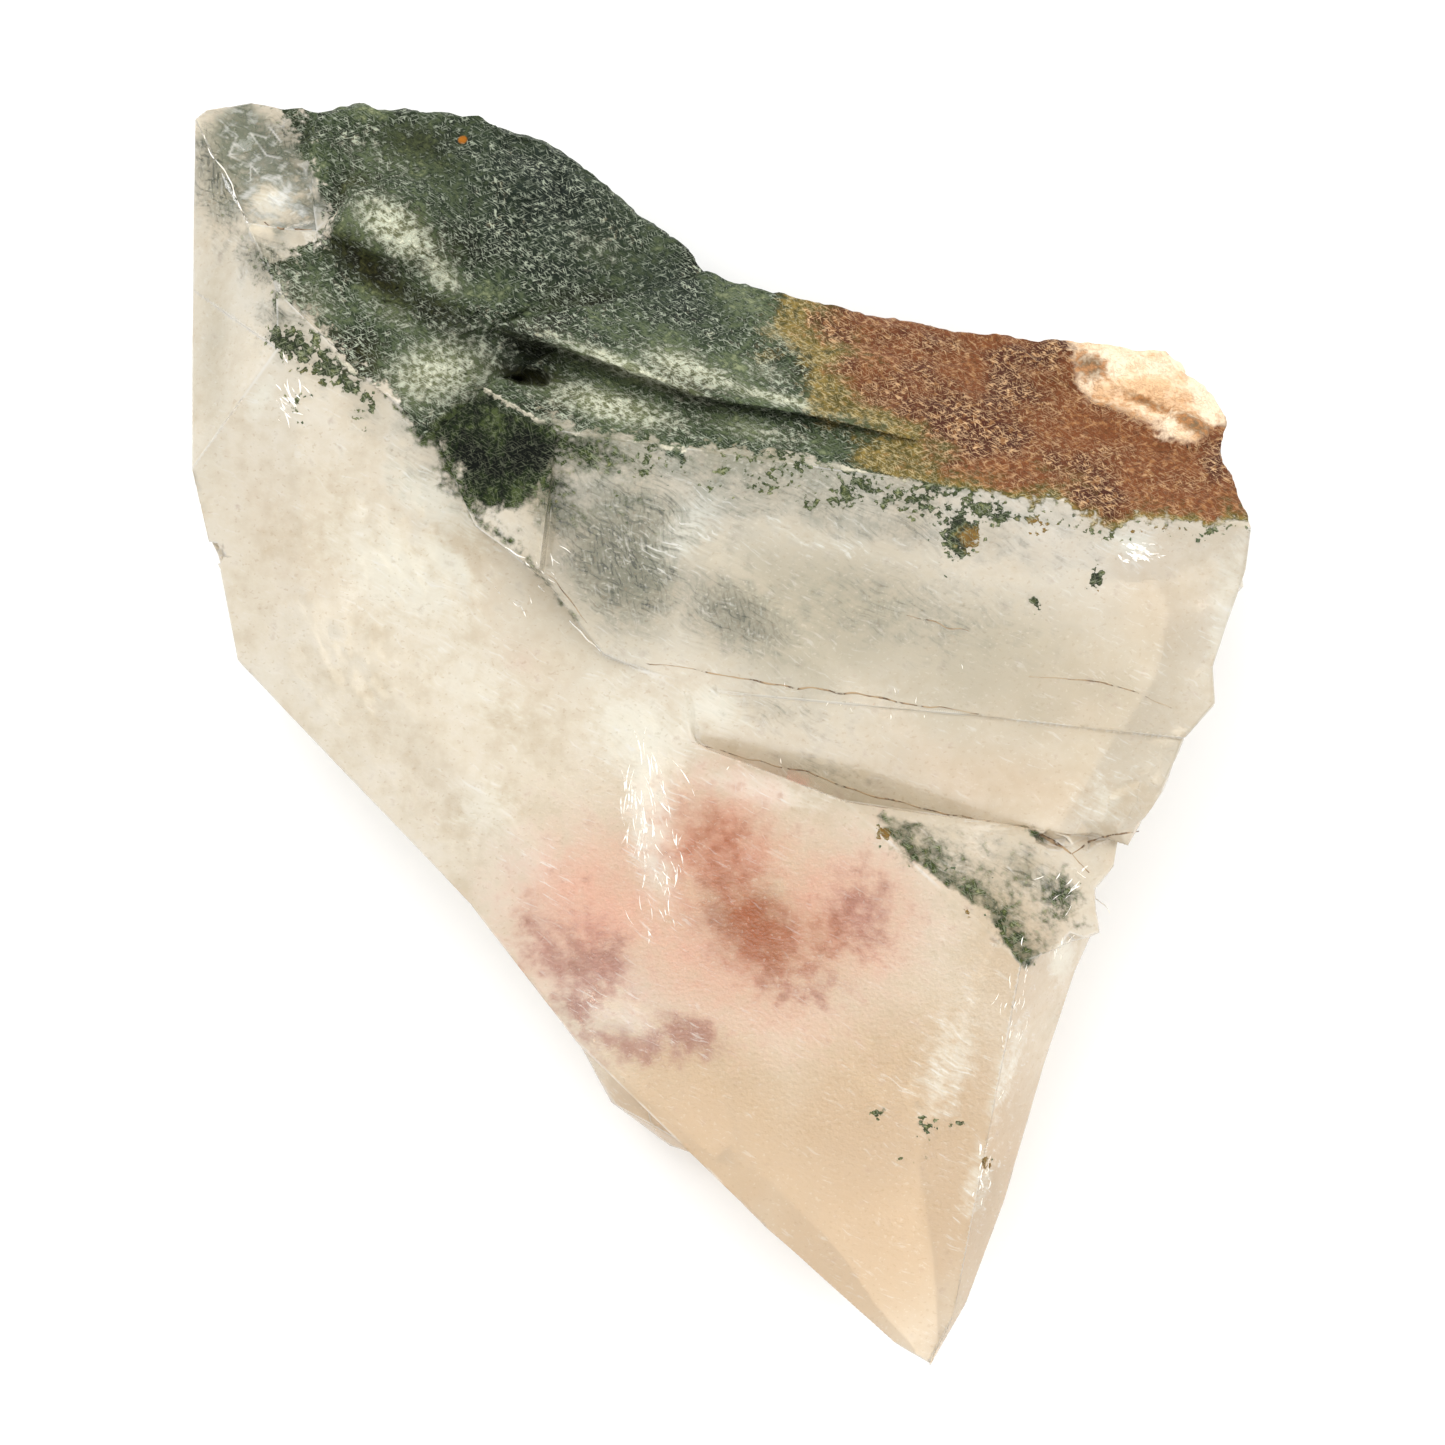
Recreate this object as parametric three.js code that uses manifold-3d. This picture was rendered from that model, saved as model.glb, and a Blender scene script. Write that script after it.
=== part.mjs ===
// A natural quartz specimen lying on its back: a broad main crystal, an upper crystal and a second
// crystal that crosses them like an arm, all grown together into one piece.
// Millimetres. X is to the right, Y is up the specimen, Z is towards the viewer, and the flat back
// face of the main crystal lies on Z = 0.

import * as THREE from 'three';
import { mergeVertices } from 'three/addons/utils/BufferGeometryUtils.js';
import { ImprovedNoise } from 'three/addons/math/ImprovedNoise.js';
import Module from 'manifold-3d';

const wasm = await Module();
wasm.setup();
const noise = new ImprovedNoise();

// Driving dimensions
const specimenWidth = 80.5;
const specimenLength = 98;
const kneeHeight = 15;
const tipHeight = 12;
const mainRidgeHeight = 21;
const armCrestHeight = 29.5;
const farOutlineHeight = 14;
const coreHeight = 9;
const armLift = 3;
const upperLift = 4.5;
const blockHeight = 50;
const lumpDent = 0.3;
const dentGrain = 0.6;

// Mesh of the rough ground: its longest edge, the grains of its relief, and the limits of its repair
const fineEdge = 2.4;
const coarseGrain = 4.3;
const fineGrain = 1.9;
const fineShare = 0.8;
const reliefCore = 0.7;
const splittingPasses = 7;
const shortestEdge = 0.05;
const flatness = 0.004;

// Corners of the faces as the front shows them, [x, y] from the middle of the specimen
const halfWidth = specimenWidth / 2;
const halfLength = specimenLength / 2;
const corner = {
  summit: [-halfWidth, 47.7],
  summitTop: [-39, 48.8],
  brow: [-36, halfLength],
  browDip: [-30.4, 47.7],
  browRise: [-27.2, 48],
  upperBump: [-18, 47.3],
  upperEnd: [-13, 46],
  upperShoulder: [-11, 44.6],
  upperSlope: [-5, 39.4],
  neck: [-0.3, 35],
  armBackLeft: [6.5, 33.1],
  armBackMiddle: [20.5, 30.4],
  armBackRight: [29.9, 29.4],
  endTop: [35.5, 29.3],
  endTopNotch: [37.3, 26.5],
  endUpper: [39.3, 24.1],
  endBite: [38.5, 20.3],
  endStep: [39.4, 18.6],
  crestRight: [halfWidth, 15.1],
  endMiddle: [40, 12],
  endWaist: [37.9, 4.8],
  endKnob: [38.2, 2],
  endLow: [36, -0.6],
  endLower: [34.5, -4.6],
  endFoot: [31.9, -8.6],
  armpit: [29.4, -12.1],
  hip: [29.7, -15.4],
  hipLow: [28.2, -18.6],
  sideMiddle: [25.7, -26.2],
  sideLow: [22.8, -36.5],
  sideFoot: [19.8, -44.4],
  tip: [16.9, -halfLength],
  tipSide: [11.5, -45.9],
  frontLow: [2.3, -36.5],
  frontBulge: [-10.3, -24.2],
  frontMiddle: [-18.5, -13.4],
  knee: [-36.4, 5.4],
  kneeTop: [-37.6, 12.4],
  leftChipLow: [-37.8, 12.8],
  leftChipHigh: [-38.4, 14.4],
  shoulder: [-39.6, 20],
  leftMiddle: [-40, 34],
  cheek: [-32.8, 28.9],
  rim: [-32.8, 33.3],
  rimTop: [-35.4, 38.7],
  fractureLow: [-30, 38],
  fractureRight: [-30.6, 42],
  rimFoot: [-25.7, 26.3],
  armLeft: [-20.8, 22.4],
  armPoint: [-17, 25.6],
  crestLeft: [-11.4, 22.3],
  seamHigh: [-17.6, 15.3],
  seamMiddle: [-12.6, 11.6],
  seamCorner: [-8.1, 5.8],
  seamFlap: [-1.6, 3.1],
  seamFold: [-1.5, -0.9],
  ridgeStart: [10.3, -5.4],
  ridgeBend: [23.6, -17.6],
  ridgeFoot: [18.8, -45.1],
  grooveRight: [24.9, -7.6],
  armLowMiddle: [20.5, 1.1],
  ledgeLeft: [-16, 30.3],
  ledgeNotch: [-10.8, 28.7],
  ledgeMiddle: [-0.8, 25],
  ledgeRight: [8.1, 23.5],
  ledgeEnd: [15.6, 21.7],
  coreHip: [29.4, -14],
  coreArmpit: [30.5, -6],
  coreMiddle: [8, 19],
  coreNeck: [-6, 33],
  coreBrow: [-27, 42],
  coreLeft: [-39.5, 36],
};

// Flat faces: the outline by its corners, and the plane by the heights of three of its points
const mainFace = {
  outline: ['shoulder', 'leftChipHigh', 'leftChipLow', 'kneeTop', 'knee', 'frontMiddle', 'frontBulge',
    'frontLow', 'tipSide', 'tip', 'ridgeFoot', 'ridgeBend', 'ridgeStart', 'seamFold', 'seamFlap',
    'seamCorner', 'seamMiddle', 'seamHigh', 'armLeft', 'rimFoot', 'rim', 'cheek'],
  plane: [['knee', kneeHeight], ['tip', tipHeight], ['ridgeBend', mainRidgeHeight]],
};
const leftFace = {
  outline: ['summit', 'leftMiddle', 'shoulder', 'cheek', 'rim', 'rimTop'],
  plane: [['shoulder', 17.9], ['cheek', 21.5], ['summit', 9]],
};
const fractureFace = {
  outline: ['summit', 'rimTop', 'fractureLow', 'fractureRight', 'browDip', 'brow', 'summitTop'],
  plane: [['summit', 9], ['rimTop', 15.8], ['fractureLow', 17.6]],
};
const upperFace = {
  outline: ['rimTop', 'rim', 'rimFoot', 'armLeft', 'crestLeft', 'ledgeMiddle', 'neck', 'upperSlope',
    'upperShoulder', 'upperEnd', 'upperBump', 'browRise', 'browDip', 'fractureRight', 'fractureLow'],
  plane: [['rim', 20.9], ['rimFoot', 22.4], ['upperEnd', 12]],
};
const rightFace = {
  outline: ['ridgeBend', 'ridgeFoot', 'tip', 'sideFoot', 'sideLow', 'sideMiddle', 'hipLow', 'hip'],
  plane: [['ridgeBend', mainRidgeHeight], ['ridgeFoot', 13.2], ['sideMiddle', 12.5]],
};
const shelfFace = {
  outline: ['ridgeStart', 'ridgeBend', 'hip', 'armpit', 'endFoot', 'grooveRight'],
  plane: [['ridgeStart', 21.4], ['ridgeBend', mainRidgeHeight], ['grooveRight', 17.3]],
};
const armFront = {
  outline: ['crestLeft', 'seamHigh', 'seamMiddle', 'seamCorner', 'seamFlap', 'armLowMiddle', 'endLow',
    'endKnob', 'endWaist', 'endMiddle', 'crestRight'],
  plane: [['crestLeft', armCrestHeight], ['crestRight', 28.5], ['seamCorner', 21.5]],
};
const armPointFace = {
  outline: ['crestLeft', 'armPoint', 'armLeft', 'seamHigh', 'seamMiddle'],
  plane: [['crestLeft', armCrestHeight], ['armPoint', 25.6], ['armLeft', 23.4]],
};
const armTop = {
  outline: ['armPoint', 'crestLeft', 'crestRight', 'endStep', 'endBite', 'endUpper', 'endTopNotch',
    'endTop', 'armBackRight', 'armBackMiddle', 'armBackLeft', 'neck'],
  plane: [['crestLeft', armCrestHeight], ['crestRight', 28.5], ['neck', farOutlineHeight]],
};
const armUnder = {
  outline: ['seamFlap', 'seamFold', 'ridgeStart', 'grooveRight', 'endFoot', 'endLower', 'endLow',
    'armLowMiddle'],
  plane: [['seamFlap', 20.5], ['armLowMiddle', 20.4], ['endFoot', 16.8]],
};
const armLedge = {
  outline: ['ledgeLeft', 'ledgeNotch', 'ledgeMiddle', 'ledgeRight', 'ledgeEnd', 'armBackMiddle',
    'armBackLeft', 'neck'],
  plane: [['ledgeMiddle', 27.6], ['ledgeEnd', 26], ['neck', 16]],
};

// Undersides: each plane leaves the outline between two corners at one height and has moved in
// by an inset where it reaches a lower height
const mainUnderside = [
  { edge: ['leftMiddle', 'shoulder'], from: 8, inset: 9, to: 0 },
  { edge: ['shoulder', 'knee'], from: 11, inset: 6, to: 0 },
  { edge: ['knee', 'frontBulge'], from: 12, inset: 3, to: 4 },
  { edge: ['knee', 'frontBulge'], from: 6.5, inset: 9, to: 0 },
  { edge: ['frontBulge', 'tip'], from: 10, inset: 2.5, to: 3 },
  { edge: ['frontBulge', 'tip'], from: 5, inset: 8, to: 0 },
  { edge: ['tip', 'sideMiddle'], from: 9, inset: 5, to: 0 },
  { edge: ['tipSide', 'sideFoot'], from: 8, inset: 13, to: 0 },
  { edge: ['sideMiddle', 'hip'], from: 9, inset: 6, to: 0 },
  { edge: ['summitTop', 'browRise'], from: 9, inset: 9, to: 0 },
];
const upperUnderside = [
  { edge: ['summitTop', 'upperEnd'], from: 9, inset: 7, to: upperLift },
  { edge: ['upperEnd', 'neck'], from: 10, inset: 6, to: upperLift },
  { edge: ['summit', 'leftMiddle'], from: 8, inset: 6, to: upperLift },
];
const armUnderside = [
  { edge: ['neck', 'endTop'], from: 12, inset: 3, to: 6 },
  { edge: ['neck', 'endTop'], from: 8, inset: 10, to: armLift },
  { edge: ['endTop', 'crestRight'], from: 15, inset: 5, to: armLift },
  { edge: ['crestRight', 'endKnob'], from: 12, inset: 4, to: armLift },
  { edge: ['endLow', 'armpit'], from: 10, inset: 5, to: armLift },
];

// Rear body of the main crystal, which runs on under the arm and carries the broad back face
const coreOutline = ['knee', 'frontBulge', 'tip', 'sideLow', 'coreHip', 'coreArmpit', 'coreMiddle',
  'coreNeck', 'coreBrow', 'coreLeft', 'shoulder'];
const coreUnderside = [
  ...mainUnderside,
  { edge: ['coreArmpit', 'coreNeck'], from: 10, inset: 6, to: 0 },
  { edge: ['coreNeck', 'coreBrow'], from: 10, inset: 9, to: 0 },
];

// A point of the plan inside each crystal, which tells the inner side of its underside planes
const mainHeart = [-2, -5];
const upperHeart = [-22, 34];
const armHeart = [12, 14];

// Lumps: the rear lobe that shows past the lower front edge, the hump and knobs of the upper
// crystal, and the crusted patches towards the broken end
const lumps = [
  { middle: [-3.2, -25.2, 5.4], reach: [10.5, 5.8, 5], turn: -0.85 },
  { middle: [-23.6, 38.2, 15.6], reach: [7, 4.6, 5], turn: -0.3 },
  { middle: [-16.5, 42.2, 11.5], reach: [7.5, 4, 3.6], turn: -0.5 },
  { middle: [-8.5, 38.4, 12], reach: [6, 3.6, 3.2], turn: -0.7 },
  { middle: [-19.5, 30.6, 18], reach: [5, 2.6, 2.6], turn: 0.3 },
  { middle: [31.3, 25.8, 16.8], reach: [7, 2.9, 2.8], turn: -0.15 },
  { middle: [36, 21, 19.8], reach: [2.8, 3.4, 3], turn: 0.2 },
];

// Hollows: where two crystals meet, chips on the edges, and a shell-shaped break
const hollows = [
  { middle: [-14.4, 26.7, 24.6], reach: [2.6, 0.9, 5], turn: -0.25 },
  { middle: [-23.4, 34.2, 21.6], reach: [6.4, 1.3, 3], turn: -0.45 },
  { middle: [-38.3, 13.5, 15.4], reach: [1.3, 1.1, 2.6], turn: 0.5 },
  { middle: [26.3, -8.4, 18], reach: [1.5, 0.8, 2], turn: -0.2 },
  { middle: [29.4, -19, 20.4], reach: [3, 4.4, 3.6], turn: 0.3 },
  { middle: [40.4, 20.4, 21], reach: [1.6, 1.5, 4], turn: 0 },
  { middle: [-34.3, 37.9, 17.4], reach: [2, 0.8, 1.2], turn: -0.5 },
];

// Rough ground: crusted and broken stretches as thick lines, with the height of their relief
const roughGround = [
  { from: [-30, 44, 14], to: [-16, 42, 14], reach: 7.5, height: 0.8 },
  { from: [-25, 35, 19], to: [-6, 38, 15], reach: 7, height: 0.8 },
  { from: [-12, 32, 19], to: [12, 30, 18], reach: 6.5, height: 0.6 },
  { from: [14, 28, 18], to: [36, 24, 18], reach: 7.5, height: 0.6 },
  { from: [38, 22, 12], to: [40, 12, 16], reach: 9, height: 1.2 },
  { from: [39, 8, 14], to: [32, -9, 12], reach: 7, height: 1.1 },
  { from: [-34, 44, 12], to: [-35, 40, 14], reach: 3.4, height: 0.5 },
  { from: [20, -9, 18], to: [28, -14, 17], reach: 3.5, height: 0.35 },
];

// Turns a closed three.js geometry into a solid
function solidOf(geometry) {
  geometry.deleteAttribute('normal');
  geometry.deleteAttribute('uv');
  const merged = mergeVertices(geometry, 1e-4);
  return new wasm.Manifold(new wasm.Mesh({
    numProp: 3,
    vertProperties: new Float32Array(merged.attributes.position.array),
    triVerts: new Uint32Array(merged.index.array),
  }));
}

// Cuts away all that lies on the side of the plane that its normal points to
function cutBeyond(solid, point, normal) {
  const reach = 400;
  const slab = new THREE.BoxGeometry(reach, reach, reach);
  slab.translate(0, 0, reach / 2);
  const turn = new THREE.Quaternion().setFromUnitVectors(new THREE.Vector3(0, 0, 1), normal);
  slab.applyQuaternion(turn);
  slab.translate(point.x, point.y, point.z);
  return solid.subtract(solidOf(slab));
}

function upright(outline) {
  const shape = new THREE.Shape(outline.map((name) => new THREE.Vector2(...corner[name])));
  return solidOf(new THREE.ExtrudeGeometry(shape, { depth: blockHeight, bevelEnabled: false }));
}

// Block under one face: its outline carried up from the back and cut off by the face's plane
function blockUnder({ outline, plane }) {
  const points = plane.map(([name, height]) => new THREE.Vector3(...corner[name], height));
  const face = new THREE.Plane().setFromCoplanarPoints(...points);
  if (face.normal.z < 0) {
    face.negate();
  }
  return cutBeyond(upright(outline), points[0], face.normal);
}

function joined(solids) {
  return solids.reduce((whole, solid) => whole.add(solid));
}

// Cuts one underside plane, which leans in towards the heart of the crystal as it goes down
function cutUnderside(solid, heart, { edge, from, inset, to }) {
  const [start, end] = edge.map((name) => corner[name]);
  const first = new THREE.Vector3(...start, from);
  const second = new THREE.Vector3(...end, from);
  const along = second.clone().sub(first).setZ(0).normalize();
  const inward = new THREE.Vector3(-along.y, along.x, 0);
  const toHeart = new THREE.Vector3(...heart, from).sub(first);
  if (inward.dot(toHeart) < 0) {
    inward.negate();
  }
  const slope = inward.clone().multiplyScalar(inset).setZ(to - from);
  const normal = new THREE.Vector3().crossVectors(along, slope).normalize();
  if (normal.z > 0) {
    normal.negate();
  }
  return cutBeyond(solid, first, normal);
}

function undercut(solid, heart, undersides) {
  return undersides.reduce((cut, underside) => cutUnderside(cut, heart, underside), solid);
}

function liftedTo(height, solid) {
  return cutBeyond(solid, new THREE.Vector3(0, 0, height), new THREE.Vector3(0, 0, -1));
}

// Lump or hollow: a coarse ball with dented faces, stretched to its reach
function lump({ middle, reach, turn }) {
  const ball = new THREE.IcosahedronGeometry(1, 1);
  const { position } = ball.attributes;
  const point = new THREE.Vector3();
  for (let index = 0; index < position.count; index += 1) {
    point.fromBufferAttribute(position, index);
    const place = point.clone().divideScalar(dentGrain).add(new THREE.Vector3(...middle));
    const dent = noise.noise(...place);
    point.multiplyScalar(1 + lumpDent * dent);
    position.setXYZ(index, ...point);
  }
  ball.scale(...reach);
  ball.rotateZ(turn);
  ball.translate(...middle);
  return solidOf(ball);
}

function mainCrystal() {
  const front = joined([mainFace, leftFace, rightFace, shelfFace].map(blockUnder));
  const top = new THREE.Vector3(0, 0, coreHeight);
  const core = cutBeyond(upright(coreOutline), top, new THREE.Vector3(0, 0, 1));
  return undercut(front, mainHeart, mainUnderside).add(undercut(core, mainHeart, coreUnderside));
}

function upperCrystal() {
  const block = joined([fractureFace, upperFace].map(blockUnder));
  return liftedTo(upperLift, undercut(block, upperHeart, upperUnderside));
}

function armCrystal() {
  const block = joined([armFront, armPointFace, armTop, armUnder, armLedge].map(blockUnder));
  return liftedTo(armLift, undercut(block, armHeart, armUnderside));
}

// A surface as its points and its triangles, three indices into the points each
function surfaceOf(solid) {
  const { vertProperties, triVerts, numProp } = solid.getMesh();
  const points = [];
  for (let place = 0; place < vertProperties.length; place += numProp) {
    points.push(new THREE.Vector3().fromArray(vertProperties, place));
  }
  const triangles = [];
  for (let place = 0; place < triVerts.length; place += 3) {
    triangles.push([...triVerts.slice(place, place + 3)]);
  }
  return { points, triangles };
}

// Draws together the ends of edges too short to see, and drops the triangles that this flattens
function withoutSpecks({ points, triangles }) {
  const standsFor = points.map((_, index) => index);
  const stand = (index) => (standsFor[index] === index ? index : stand(standsFor[index]));
  for (const triangle of triangles) {
    for (const [from, to] of [[0, 1], [1, 2], [2, 0]]) {
      const [a, b] = [stand(triangle[from]), stand(triangle[to])];
      if (a !== b && points[a].distanceTo(points[b]) < shortestEdge) {
        standsFor[Math.max(a, b)] = Math.min(a, b);
      }
    }
  }
  const kept = triangles.map((triangle) => triangle.map(stand));
  return { points, triangles: kept.filter(([a, b, c]) => a !== b && b !== c && c !== a) };
}

function edgeKey(a, b) {
  return a < b ? `${a} ${b}` : `${b} ${a}`;
}

function edgesOf(triangles) {
  const edges = new Map();
  triangles.forEach((triangle, index) => {
    for (let step = 0; step < 3; step += 1) {
      const [a, b, far] = [0, 1, 2].map((place) => triangle[(step + place) % 3]);
      const key = edgeKey(a, b);
      edges.set(key, [...(edges.get(key) ?? []), { index, a, b, far }]);
    }
  });
  return edges;
}

function angleAt(tip, a, b) {
  return a.clone().sub(tip).angleTo(b.clone().sub(tip));
}

// Turns the shared edge of two triangles in one flat face wherever that makes them rounder
function withRoundTriangles({ points, triangles }) {
  const result = triangles.map((triangle) => [...triangle]);
  const normalOf = (corners) => {
    const [p, q, r] = corners.map((index) => points[index]);
    return q.clone().sub(p).cross(r.clone().sub(p));
  };
  const maxPasses = 40;
  for (let pass = 0, turned = 1; turned > 0 && pass < maxPasses; pass += 1) {
    turned = 0;
    const edges = edgesOf(result);
    const touched = new Set();
    const added = new Set();
    for (const sides of edges.values()) {
      if (sides.length !== 2 || sides.some(({ index }) => touched.has(index))) {
        continue;
      }
      const [{ index: first, a, b, far: c }, { index: second, far: d }] = sides;
      const [pa, pb, pc, pd] = [a, b, c, d].map((index) => points[index]);
      if (angleAt(pc, pa, pb) + angleAt(pd, pa, pb) < Math.PI + 1e-3) {
        continue;
      }
      const facing = normalOf(result[first]).add(normalOf(result[second])).normalize();
      const turnedPair = [[c, d, b], [d, c, a]];
      const areas = turnedPair.map((corners) => normalOf(corners).dot(facing));
      const across = pd.clone().sub(pc).cross(pb.clone().sub(pa)).normalize();
      const lift = Math.abs(across.dot(pc.clone().sub(pa)));
      const newKey = edgeKey(c, d);
      if (Math.min(...areas) < 1e-6 || lift > flatness || edges.has(newKey) || added.has(newKey)) {
        continue;
      }
      result[first] = turnedPair[0];
      result[second] = turnedPair[1];
      touched.add(first).add(second);
      added.add(newKey);
      turned += 1;
    }
  }
  return { points, triangles: result };
}

// Splits the edges near rough ground that are too long to carry the relief
function withShortEdges({ points, triangles }, isLong) {
  const middles = new Map();
  const allPoints = [...points];
  const middle = (a, b) => {
    const key = edgeKey(a, b);
    if (!middles.has(key)) {
      const long = isLong(points[a], points[b]);
      middles.set(key, long ? allPoints.push(points[a].clone().lerp(points[b], 0.5)) - 1 : null);
    }
    return middles.get(key);
  };
  const result = triangles.flatMap(([a, b, c]) => {
    const found = [middle(a, b), middle(b, c), middle(c, a)];
    const count = found.filter((index) => index !== null).length;
    if (count === 0) {
      return [[a, b, c]];
    }
    if (count === 3) {
      const [ab, bc, ca] = found;
      return [[a, ab, ca], [ab, b, bc], [ca, bc, c], [ab, bc, ca]];
    }
    // Turn the triangle so that its first edge is split and, of two, the second one too
    const isStart = (step) => found[step] !== null && (count === 1 || found[(step + 1) % 3] !== null);
    const start = [0, 1, 2].find(isStart);
    const [p, q, r] = [0, 1, 2].map((step) => [a, b, c][(start + step) % 3]);
    const [pq, qr] = [found[start], found[(start + 1) % 3]];
    return count === 1 ? [[p, pq, r], [pq, q, r]] : [[pq, q, qr], [p, pq, qr], [p, qr, r]];
  });
  return { points: allPoints, triangles: result };
}

const roughLines = roughGround.map(({ from, to, reach, height }) => ({
  line: new THREE.Line3(new THREE.Vector3(...from), new THREE.Vector3(...to)),
  reach,
  height,
}));

function distanceTo(line, point) {
  return line.closestPointToPoint(point, true, new THREE.Vector3()).distanceTo(point);
}

// Height of the relief at a point: full on rough ground and none outside it or near the rest face
function reliefHeight(point) {
  const heights = roughLines.map(({ line, reach, height }) => {
    const inside = 1 - THREE.MathUtils.smoothstep(distanceTo(line, point), reach * reliefCore, reach);
    return height * inside;
  });
  return Math.max(...heights) * THREE.MathUtils.smoothstep(point.z, 1, 3);
}

// The solid as a geometry, with relief raised along its normals on rough ground
function weathered(solid) {
  const isLong = (a, b) => {
    const middle = a.clone().lerp(b, 0.5);
    const gap = Math.min(...roughLines.map(({ line, reach }) => distanceTo(line, middle) - reach));
    return a.distanceTo(b) > Math.max(fineEdge, gap);
  };
  let surface = withRoundTriangles(withoutSpecks(surfaceOf(solid)));
  for (let pass = 0; pass < splittingPasses; pass += 1) {
    surface = withRoundTriangles(withShortEdges(surface, isLong));
  }
  const geometry = new THREE.BufferGeometry().setFromPoints(surface.points);
  geometry.setIndex(surface.triangles.flat());
  geometry.computeVertexNormals();
  const { position, normal } = geometry.attributes;
  const outward = new THREE.Vector3();
  surface.points.forEach((point, index) => {
    outward.fromBufferAttribute(normal, index);
    const coarse = noise.noise(...point.clone().divideScalar(coarseGrain));
    const fine = noise.noise(...point.clone().divideScalar(fineGrain));
    const relief = reliefHeight(point) * (coarse + fineShare * fine);
    const moved = point.clone().addScaledVector(outward, relief);
    position.setXYZ(index, ...moved);
  });
  return mergeVertices(geometry.deleteAttribute('normal'), 1e-4);
}

const grown = joined([mainCrystal(), upperCrystal(), armCrystal(), ...lumps.map(lump)]);
const specimen = hollows.reduce((solid, hollow) => solid.subtract(lump(hollow)), grown);

// Rests on Z = 0 with its middle over the origin
const geometry = weathered(specimen);
geometry.computeBoundingBox();
const { min, max } = geometry.boundingBox;
geometry.translate(-(min.x + max.x) / 2, -(min.y + max.y) / 2, -min.z);
geometry.computeVertexNormals();

const quartz = new THREE.MeshStandardMaterial({ color: 0xe4dcc8, roughness: 0.25, metalness: 0 });
const piece = new THREE.Mesh(geometry, quartz);
piece.name = 'quartz_crystal';

const group = new THREE.Group();
group.add(piece);

export default group;
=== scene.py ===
# Chlorite quartz: a cluster of three intergrown crystals, lying on a pale floor and seen from above.
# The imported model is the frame. One shell with its own facets stands for its node, and the
# inclusions inside it are separate pieces. Shapes are worked out in millimetres.

import bpy
import numpy as np
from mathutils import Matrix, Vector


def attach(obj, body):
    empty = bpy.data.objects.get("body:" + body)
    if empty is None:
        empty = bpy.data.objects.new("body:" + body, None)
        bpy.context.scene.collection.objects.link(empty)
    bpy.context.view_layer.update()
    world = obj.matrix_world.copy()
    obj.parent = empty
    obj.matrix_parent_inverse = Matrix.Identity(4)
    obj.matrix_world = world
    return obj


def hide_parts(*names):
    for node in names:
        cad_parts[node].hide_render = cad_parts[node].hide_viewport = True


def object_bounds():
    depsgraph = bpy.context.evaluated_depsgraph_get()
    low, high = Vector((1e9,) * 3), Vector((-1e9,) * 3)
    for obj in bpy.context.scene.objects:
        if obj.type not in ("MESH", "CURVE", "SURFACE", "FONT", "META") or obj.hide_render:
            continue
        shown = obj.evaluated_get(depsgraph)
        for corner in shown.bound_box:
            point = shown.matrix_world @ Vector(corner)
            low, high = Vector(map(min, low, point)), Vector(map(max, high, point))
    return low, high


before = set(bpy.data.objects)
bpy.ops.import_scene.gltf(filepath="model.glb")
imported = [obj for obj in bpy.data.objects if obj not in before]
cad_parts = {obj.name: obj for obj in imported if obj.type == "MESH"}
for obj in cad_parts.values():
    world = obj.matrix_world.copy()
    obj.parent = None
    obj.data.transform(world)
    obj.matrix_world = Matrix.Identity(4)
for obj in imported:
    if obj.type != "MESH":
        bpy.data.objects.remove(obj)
cadBox = [list(corner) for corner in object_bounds()]
metresPerMm = 0.001


# A colour as a painter's tool shows it, 0 to 255, turned into the renderer's linear values
def tone(red, green, blue):
    shown = np.array([red, green, blue]) / 255
    linear = np.where(shown <= 0.04045, shown / 12.92, ((shown + 0.055) / 1.055) ** 2.4)
    return (*linear.tolist(), 1.0)


# A socket with arithmetic: every operator adds one Math node
class Value:
    def __init__(self, graph, socket):
        self.graph, self.socket = graph, socket

    def math(self, operation, *others):
        return self.graph.node("ShaderNodeMath", {"operation": operation}, dict(enumerate((self, *others))))

    def __add__(self, other):
        return self.math("ADD", other)

    def __sub__(self, other):
        return self.math("SUBTRACT", other)

    def __rsub__(self, other):
        return self.graph.node("ShaderNodeMath", {"operation": "SUBTRACT"}, {0: other, 1: self})

    def __mul__(self, other):
        return self.math("MULTIPLY", other)

    __radd__, __rmul__ = __add__, __mul__

    def larger(self, other):
        return self.math("MAXIMUM", other)

    # 0 below low, 1 above high, and a soft S between them
    def between(self, low, high):
        return self.graph.node("ShaderNodeMapRange", {"interpolation_type": "SMOOTHSTEP"},
                               {"Value": self, "From Min": low, "From Max": high})


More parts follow.
